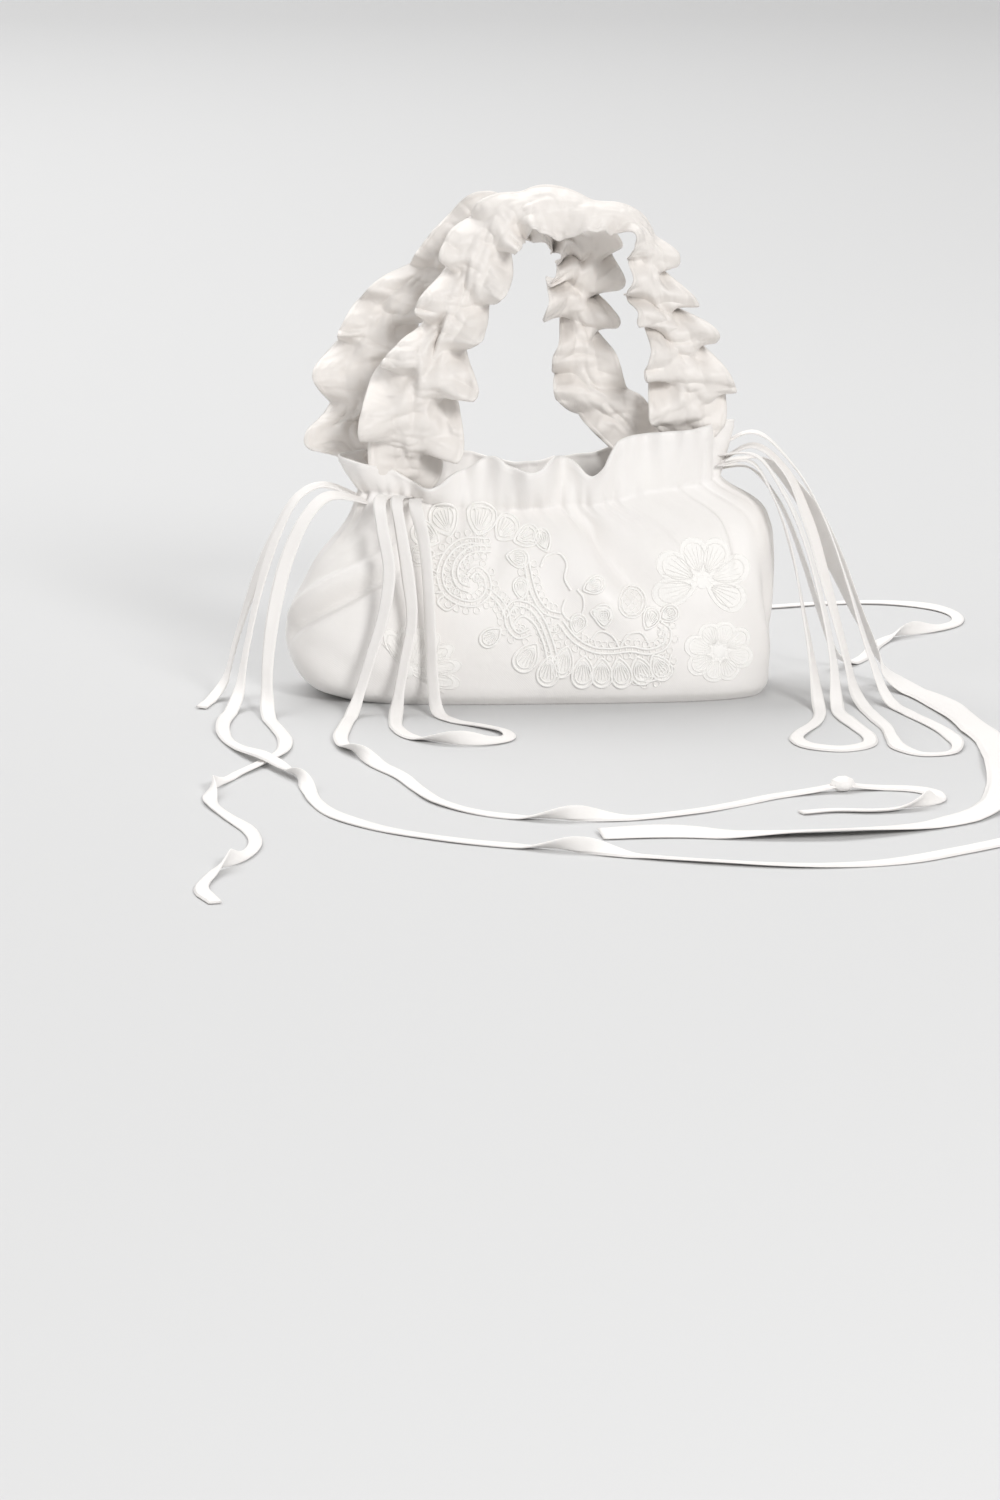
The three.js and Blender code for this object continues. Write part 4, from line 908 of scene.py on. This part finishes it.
def pouch_rows(sizes):
    """Rows of places on the pouch's outer face, from its base's middle to the frill's edge."""
    around = 448
    # Depths in metres: the cloth's soft dents, the curl of the frill's edge and the bead of its hem.
    dent, curl_deep, bead = 0.0009, 0.0016, 0.0005
    turn = np.arange(around) / around
    mouth = {
        key: np.array([round_mouth(key, t) for t in turn]) for key in ("lift", "tall", "out", "gather")
    }
    drawn = gather_depth(turn, 1.0, mouth["gather"])
    heights = np.concatenate([np.linspace(0, 0.1, 12, endpoint=False), np.linspace(0.1, 1, 64)])
    rows = []
    for h in heights:
        keys = ("left", "right", "deep", "drawn", "square")
        section = {key: smooth_read(POUCH_SECTIONS, key, "height", h) for key in keys}
        places = outline(section, around, sizes)
        along = np.roll(places, -1, axis=0) - np.roll(places, 1, axis=0)
        outward = unit(np.stack([along[:, 1], -along[:, 0]], -1))
        pushed = fold_depth(turn, np.full(around, h), sizes) * min(1, h * 20)
        reach = np.hypot(places[:, 0], places[:, 1])
        places = places * (1 - pushed / reach)[:, None]
        soft = np.array([dent * noise.noise(Vector((x * 26, y * 26, h * 3.2))) for x, y in places])
        inward = gather_depth(turn, h, mouth["gather"]) + soft * min(1, h * 9)
        places -= outward * inward[:, None]
        z = sizes.casing_height * (h + mouth["lift"] * h**3)
        rows.append(np.column_stack([places, z]))
    base = rows[0]
    under = [base * (s, s, 1) for s in (0.02, 0.3, 0.6, 0.85, 0.96)]
    casing = rows[-1]
    clean = outline(section, around, sizes)
    along = np.roll(clean, -3, axis=0) - np.roll(clean, 3, axis=0)
    outward = unit(np.stack([along[:, 1], -along[:, 0]], -1))
    wave = frill_wave(turn, sizes.frill_waves)
    curl = frill_wave(turn + 0.31, 3 * sizes.frill_waves)
    for rise in np.linspace(0, 1, 17)[1:]:
        flare = smooth_read(FRILL_SECTIONS, "flare", "rise", rise)
        ruffle = smooth_read(FRILL_SECTIONS, "ruffle", "rise", rise)
        calm = np.minimum(1, 0.3 + mouth["out"])
        out = flare * sizes.frill_flare * mouth["out"] + ruffle * sizes.frill_ruffle * wave * calm
        # The gathers fan out above the cord, and the hem at the frill's edge is a little thicker.
        out += drawn * (1 - 0.9 * max(0, 1 - rise / 0.8) ** 1.2) + curl_deep * curl * rise**2
        out += bead * math.exp(-(((rise - 0.86) / 0.05) ** 2))
        flat = casing[:, :2] + outward * out[:, None]
        z = casing[:, 2] + rise * sizes.frill_height * mouth["tall"]
        rows.append(np.column_stack([flat, z]))
    return under + rows


class HANDBAG_OT_pouch(bpy.types.Operator):
    """Makes the soft pouch with its folds, its gathered casing and its frill"""

    bl_idname = "handbag.pouch"
    bl_label = "Pouch"

    def execute(self, context):
        sizes, colours = context.scene.handbag_sizes, context.scene.handbag_colours
        piece = lay_grid("pouch_cloth", pouch_rows(sizes), closed=True)
        pick(piece)
        go_to("EDIT")
        bpy.ops.mesh.select_all(action="DESELECT")
        go_to("OBJECT")
        for vertex in piece.data.vertices:
            vertex.select = vertex.co.z < 1e-5 and vertex.co.xy.length < 0.004
        go_to("EDIT")
        bpy.ops.mesh.select_mode(type="VERT")
        bpy.ops.mesh.merge(type="CENTER")
        go_to("OBJECT")
        finish_with(piece, "SOLIDIFY", thickness=sizes.pouch_cloth, offset=-1)
        dress(piece, satin_material(colours), "satin", "pouch")
        return {"FINISHED"}


def strap_rows(stations, sizes):
    """Rows of places across a handle's strap, from its left end to its right end. A ruched channel
    runs along its middle between two lines of stitches, and a frill stands out on each side."""
    along, across = 640, 56
    rows = [{**station, "at": i} for i, station in enumerate(stations)]
    at = np.linspace(0, len(stations) - 1, along + 1)
    column = {key: np.array([smooth_read(rows, key, "at", a) for a in at]) for key in stations[0]}
    rise = sizes.handle_top - sizes.casing_height
    outer, inner = (
        np.stack(
            [
                column[edge + "_across"] * sizes.handle_span / 2,
                column[edge + "_back"] * sizes.handle_spread,
                sizes.casing_height + column[edge + "_up"] * rise,
            ],
            -1,
        )
        for edge in ("outer", "inner")
    )
    middle = (outer + inner) / 2
    half = np.linalg.norm(outer - inner, axis=1) / 2
    wide = unit(outer - inner)
    tangent = unit(np.gradient(middle, axis=0))
    face = unit(np.cross(tangent, wide))
    pace = np.linalg.norm(np.gradient(middle, axis=0), axis=1)
    run = np.concatenate([[0], np.cumsum(np.linalg.norm(np.diff(middle, axis=0), axis=1))])
    seed = 10 * rows[0]["outer_back"]

    def ripple(swings, lane, shift):
        """Soft noise along the strap, with so many swings a metre."""
        return np.array([noise.noise(Vector((s * swings, lane, seed + shift))) for s in run])

    def creases(swings, lane, shift):
        """Folds that run across the strap, from sharp valleys at -1 to broad ridges near 1."""
        return 4 * np.minimum(np.abs(ripple(swings, lane, shift)), 0.5) - 1

    # Shares of half the strap's width: a line of stitches, its width, and the hem and its width.
    sewn, sewn_wide, hem, hem_wide = 0.36, 0.07, 0.92, 0.03
    # Depths in metres: the stitches' groove, the hem's bead, the channel's ruching, and the ruffle above
    # which the frill's creases grow no deeper.
    groove, bead, ruched, deepest = 0.0006, 0.0008, 0.0011, 0.009
    grid = np.zeros((along + 1, across + 1, 3))
    for k in range(across + 1):
        t = 2 * k / across - 1
        side = 0.5 + 0.5 * math.tanh(t * 3)
        edge = outer if t > 0 else inner
        crowd = np.clip(np.linalg.norm(np.gradient(edge, axis=0), axis=1) / pace, 0.15, 1)
        uneven = 1 + 1.1 * ripple(26, side * 3, 0)
        wander = 2.4 * ripple(18, side * 3, 4)
        depth = (column["outer_ruffle"] * side + column["inner_ruffle"] * (1 - side)) * sizes.strap_ruffle
        calm = np.minimum(1, depth / (0.8 * sizes.strap_ruffle))
        depth = depth * np.maximum(uneven, 0.3)
        rim = abs(t) ** 1.5
        phase = 2 * math.pi * (column["waves"] + 0.45 * (1 - side)) + wander
        swell = depth * (0.2 + 1.45 * rim)
        push = (np.sin(phase) + 0.25 * np.sin(2 * phase + 1)) * swell
        push += column["bow"] * sizes.strap_bow * (1 - t * t)
        frill = min(1, max(0, (abs(t) - sewn) / 0.4))
        folds, pleats = creases(54, t * 0.6, 9), creases(115, t * 0.7, 23)
        push += (0.42 * folds + 0.17 * pleats) * np.minimum(depth, deepest) * frill
        push += creases(120, t * 1.2, 17) * ruched * calm * (1 - 0.7 * frill)
        push -= groove * calm * math.exp(-(((abs(t) - sewn) / sewn_wide) ** 2))
        push += bead * math.exp(-(((abs(t) - hem) / hem_wide) ** 2))
        lobes = 2 * np.abs(np.sin(phase / 2 + 0.6)) - 1.3
        reach = half * t + math.copysign(0.5, t) * lobes * depth * rim * crowd
        # Each lobe of the frill droops, so it hooks over the one below.
        droop = 0.55 * lobes * depth * rim * np.abs(tangent[:, 2]) * crowd
        grid[:, k] = middle + wide * reach[:, None] + face * push[:, None]
        grid[:, k, 2] -= droop
    return list(grid)


class HANDBAG_OT_handles(bpy.types.Operator):
    """Makes the two ruched and frilled handles"""

    bl_idname = "handbag.handles"
    bl_label = "Handles"

    def execute(self, context):
        sizes, colours = context.scene.handbag_sizes, context.scene.handbag_colours
        for name, stations in HANDLE_STATIONS.items():
            piece = lay_grid(name + "_cloth", strap_rows(stations, sizes))
            finish_with(piece, "SOLIDIFY", thickness=sizes.strap_cloth, offset=0)
            # The handles' crushed satin is painted a darker ivory as shade.
            dress(piece, satin_material(colours, crush_with_painted_shade=0.6), "satin", name)
        return {"FINISHED"}


def front_place(shell, right, up, stand):
    """The place on the pouch's front that lies across and up there, lifted off the cloth by stand. One
    above the frill's edge comes down to it."""
    for lower in range(25):
        place, normal, _, _ = shell.ray_cast(Vector((right, -0.3, up - lower * MM)), Vector((0, 1, 0)))
        if place and place.y < -0.012:
            return place + normal * stand
    raise RuntimeError(f"no cloth at {right}, {up}")


def beside(path, step):
    """A path across and up, moved sideways by step."""
    along = unit(np.gradient(path, axis=0))
    return path + np.stack([-along[:, 1], along[:, 0]], -1) * step


def circle(count):
    """Places round a circle of radius one."""
    return np.array([(math.cos(a), math.sin(a)) for a in np.linspace(0, 2 * math.pi, count + 1)[:-1]])


def petal_rim(root, long, wide, lean, count=30):
    """A petal's rim, starting and ending at its root."""
    a = np.linspace(0, 2 * math.pi, count, endpoint=False)
    x = long * (1 - np.cos(a)) / 2
    y = wide / 2 * np.sin(a) * np.sin(a / 2) ** 0.6 * 1.15
    c, s = math.cos(lean), math.sin(lean)
    return np.stack([root[0] + x * c - y * s, root[1] + x * s + y * c], -1)


def petal_cords(rim, root, thick):
    """The cords of one petal: its rim, a finer one inside it and its veins."""
    centre = rim.mean(axis=0)
    tip = rim[len(rim) // 2]
    cords = [(rim, thick, True), (centre + (rim - centre) * 0.72, thick * 0.7, True, PAD_HIGH)]
    for share in (-0.5, -0.25, 0.0, 0.25, 0.5):
        end = root + (tip - root) * 0.74 + np.array([-(tip - root)[1], (tip - root)[0]]) * share * 0.5
        cords.append((np.linspace(root + (end - root) * 0.2, end, 6), thick * 0.6, False, PAD_HIGH))
    return cords


def lay_cords(name, shell, cords):
    """Round cords laid on the pouch's front, each a path, a radius, whether it closes on itself and, for
    one on a pad, the pad's height."""
    deselect()
    data = bpy.data.curves.new(name, "CURVE")
    data.dimensions = "3D"
    data.bevel_depth, data.bevel_resolution, data.use_fill_caps = 1.0, 1, True
    for path, radius, closed, *under in cords:
        spline = data.splines.new("POLY")
        spline.points.add(len(path) - 1)
        spline.use_cyclic_u = closed
        for point, (right, up) in zip(spline.points, path):
            point.co = (*front_place(shell, right, up, radius * 0.6 + sum(under)), 1)
            point.radius = radius
    piece = bpy.data.objects.new(name, data)
    bpy.context.scene.collection.objects.link(piece)
    pick(piece)
    bpy.ops.object.convert(target="MESH")
    bpy.ops.object.shade_smooth()
    return bpy.context.object


def lay_pad(name, shell, rim, high):
    """A thin closed pad of dense stitches on the pouch's front, domed inside its rim."""
    centre = rim.mean(axis=0)
    rings = [(share, -0.0002) for share in (0.04, 0.35, 0.7, 1.0)]
    rings += [(share, high * (1 - 0.5 * share**4)) for share in (1.0, *np.linspace(0.94, 0.04, 10))]
    rows = [
        [front_place(shell, *(centre + (corner - centre) * share), stand) for corner in rim]
        for share, stand in rings
    ]
    return lay_grid(name, rows, closed=True, capped=True)


def join_pieces(pieces):
    """The pieces as one, under the first one's name."""
    pick(pieces[0])
    for piece in pieces:
        piece.select_set(True)
    bpy.ops.object.join()
    return bpy.context.object


def scroll_lace(shell):
    """The corded lace across the pouch's front, with its paired stems, petals and netted flower."""
    cords, pads = [], []
    for kind, places in LACE_VINES:
        path = curve_through([(x / 10000, 0, z / 10000) for x, z in places], 0.0011)[:, (0, 2)]
        if kind == "single":
            cords.append((path, STEM, False))
            continue
        left, right = beside(path, PAIR_HALF), beside(path, -PAIR_HALF)
        cords += [(left, STEM, False), (right, STEM, False)]
        cords += [(np.array([a, b]), BAR, False) for a, b in list(zip(left, right))[2:-2:3]]
        # Small looped picots along both sides.
        out = unit(left - right)
        for number in range(2, len(path) - 2, 4):
            for way in (1, -1):
                root = path[number + (way > 0)] + way * out[number] * PICOT_LONG / 2
                lean = math.atan2(*(way * out[number])[::-1])
                cords.append((petal_rim(root, PICOT_LONG, PICOT_LONG, lean, 10), PICOT, True))
    for number, petal in enumerate(LACE_PETALS):
        root = np.array([petal["right"], petal["up"]]) / 10000
        long, wide = 1.2 * (petal["long"] / 10000), 1.25 * (petal["wide"] / 10000)
        rim = petal_rim(root, long, wide, math.radians(petal["lean"]))
        cords += petal_cords(rim, root, STEM)
        pads.append(lay_pad(f"lace_pad_{number}", shell, rim, PAD_HIGH))
    right, up, radius = LACE_NET
    for share in (1.0, 0.78):
        cords.append((np.array([right, up]) + circle(27) * radius * share, NET_RING, True))
    for lean in (math.radians(40), math.radians(130)):
        c, s = math.cos(lean), math.sin(lean)
        for away in np.arange(-0.75, 0.76, 0.375):
            reach = math.sqrt(1 - away * away)
            ends = [(away * -s + k * reach * c, away * c + k * reach * s) for k in (-1, 1)]
            line = np.linspace(np.array(ends[0]), np.array(ends[1]), 8) * radius + (right, up)
            cords.append((line, NET_BAR, False))
    return join_pieces([lay_cords("lace_scroll_work", shell, cords), *pads])


def patch_lace(name, shell, patch):
    """A raised patch of finer lace: petals that fan from one root, with a domed middle."""
    right, up, count, long, wide, fan, begin, bold = patch
    root = np.array([right, up])
    cords, pads = [], []
    for i in range(count):
        lean = 2 * math.pi * (begin + fan * i / count)
        start = root + 0.0025 * np.array([math.cos(lean), math.sin(lean)])
        rim = petal_rim(start, long * (0.9 + 0.1 * math.cos(2 * lean)), wide, lean)
        cords += petal_cords(rim, start, 0.0004 * (0.4 + 0.6 * bold))
        pads.append(lay_pad(f"{name}_pad_{i}", shell, rim, 0.0006 * bold + 0.0001 * (i % 2)))
    pads.append(lay_pad(f"{name}_middle", shell, root + circle(16) * 0.0035, 0.001 * bold))
    return join_pieces([lay_cords(name + "_work", shell, cords), *pads])


class HANDBAG_OT_lace(bpy.types.Operator):
    """Makes the corded lace and the raised patches on the pouch's front, and finishes the knot"""

    bl_idname = "handbag.lace"
    bl_label = "Lace"

    def execute(self, context):
        colours = context.scene.handbag_colours
        shell = BVHTree.FromObject(bpy.data.objects["pouch_cloth"], context.evaluated_depsgraph_get())
        dress(scroll_lace(shell), lace_material(colours), "lace", "lace_scroll")
        for name, patch in LACE_PATCHES.items():
            dress(patch_lace(name, shell, patch), lace_material(colours), "lace", name)
        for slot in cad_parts["tie_knot"].material_slots:
            slot.material = tape_material(colours)
        return {"FINISHED"}


class HANDBAG_PT_panel(bpy.types.Panel):
    """Lists the handbag's sizes, colours and pieces"""

    bl_label = "Handbag"
    bl_space_type = "VIEW_3D"
    bl_region_type = "UI"
    bl_category = "Handbag"

    def draw(self, context):
        layout = self.layout
        for group in (context.scene.handbag_sizes, context.scene.handbag_colours):
            box = layout.box()
            for key in group.__annotations__:
                box.prop(group, key)
        for operator in OPERATORS:
            layout.operator(operator.bl_idname)


OPERATORS = (
    HANDBAG_OT_stage,
    HANDBAG_OT_ties,
    HANDBAG_OT_pouch,
    HANDBAG_OT_handles,
    HANDBAG_OT_lace,
)
CLASSES = (HandbagSizes, HandbagColours, *OPERATORS, HANDBAG_PT_panel)


def register():
    for kind in CLASSES:
        bpy.utils.register_class(kind)
    bpy.types.Scene.handbag_sizes = bpy.props.PointerProperty(type=HandbagSizes)
    bpy.types.Scene.handbag_colours = bpy.props.PointerProperty(type=HandbagColours)


def unregister():
    del bpy.types.Scene.handbag_colours
    del bpy.types.Scene.handbag_sizes
    for kind in reversed(CLASSES):
        bpy.utils.unregister_class(kind)


def main():
    register()
    bpy.ops.handbag.stage()
    bpy.ops.handbag.ties()
    bpy.ops.handbag.pouch()
    bpy.ops.handbag.handles()
    bpy.ops.handbag.lace()
    deselect()


if __name__ == "__main__":
    main()
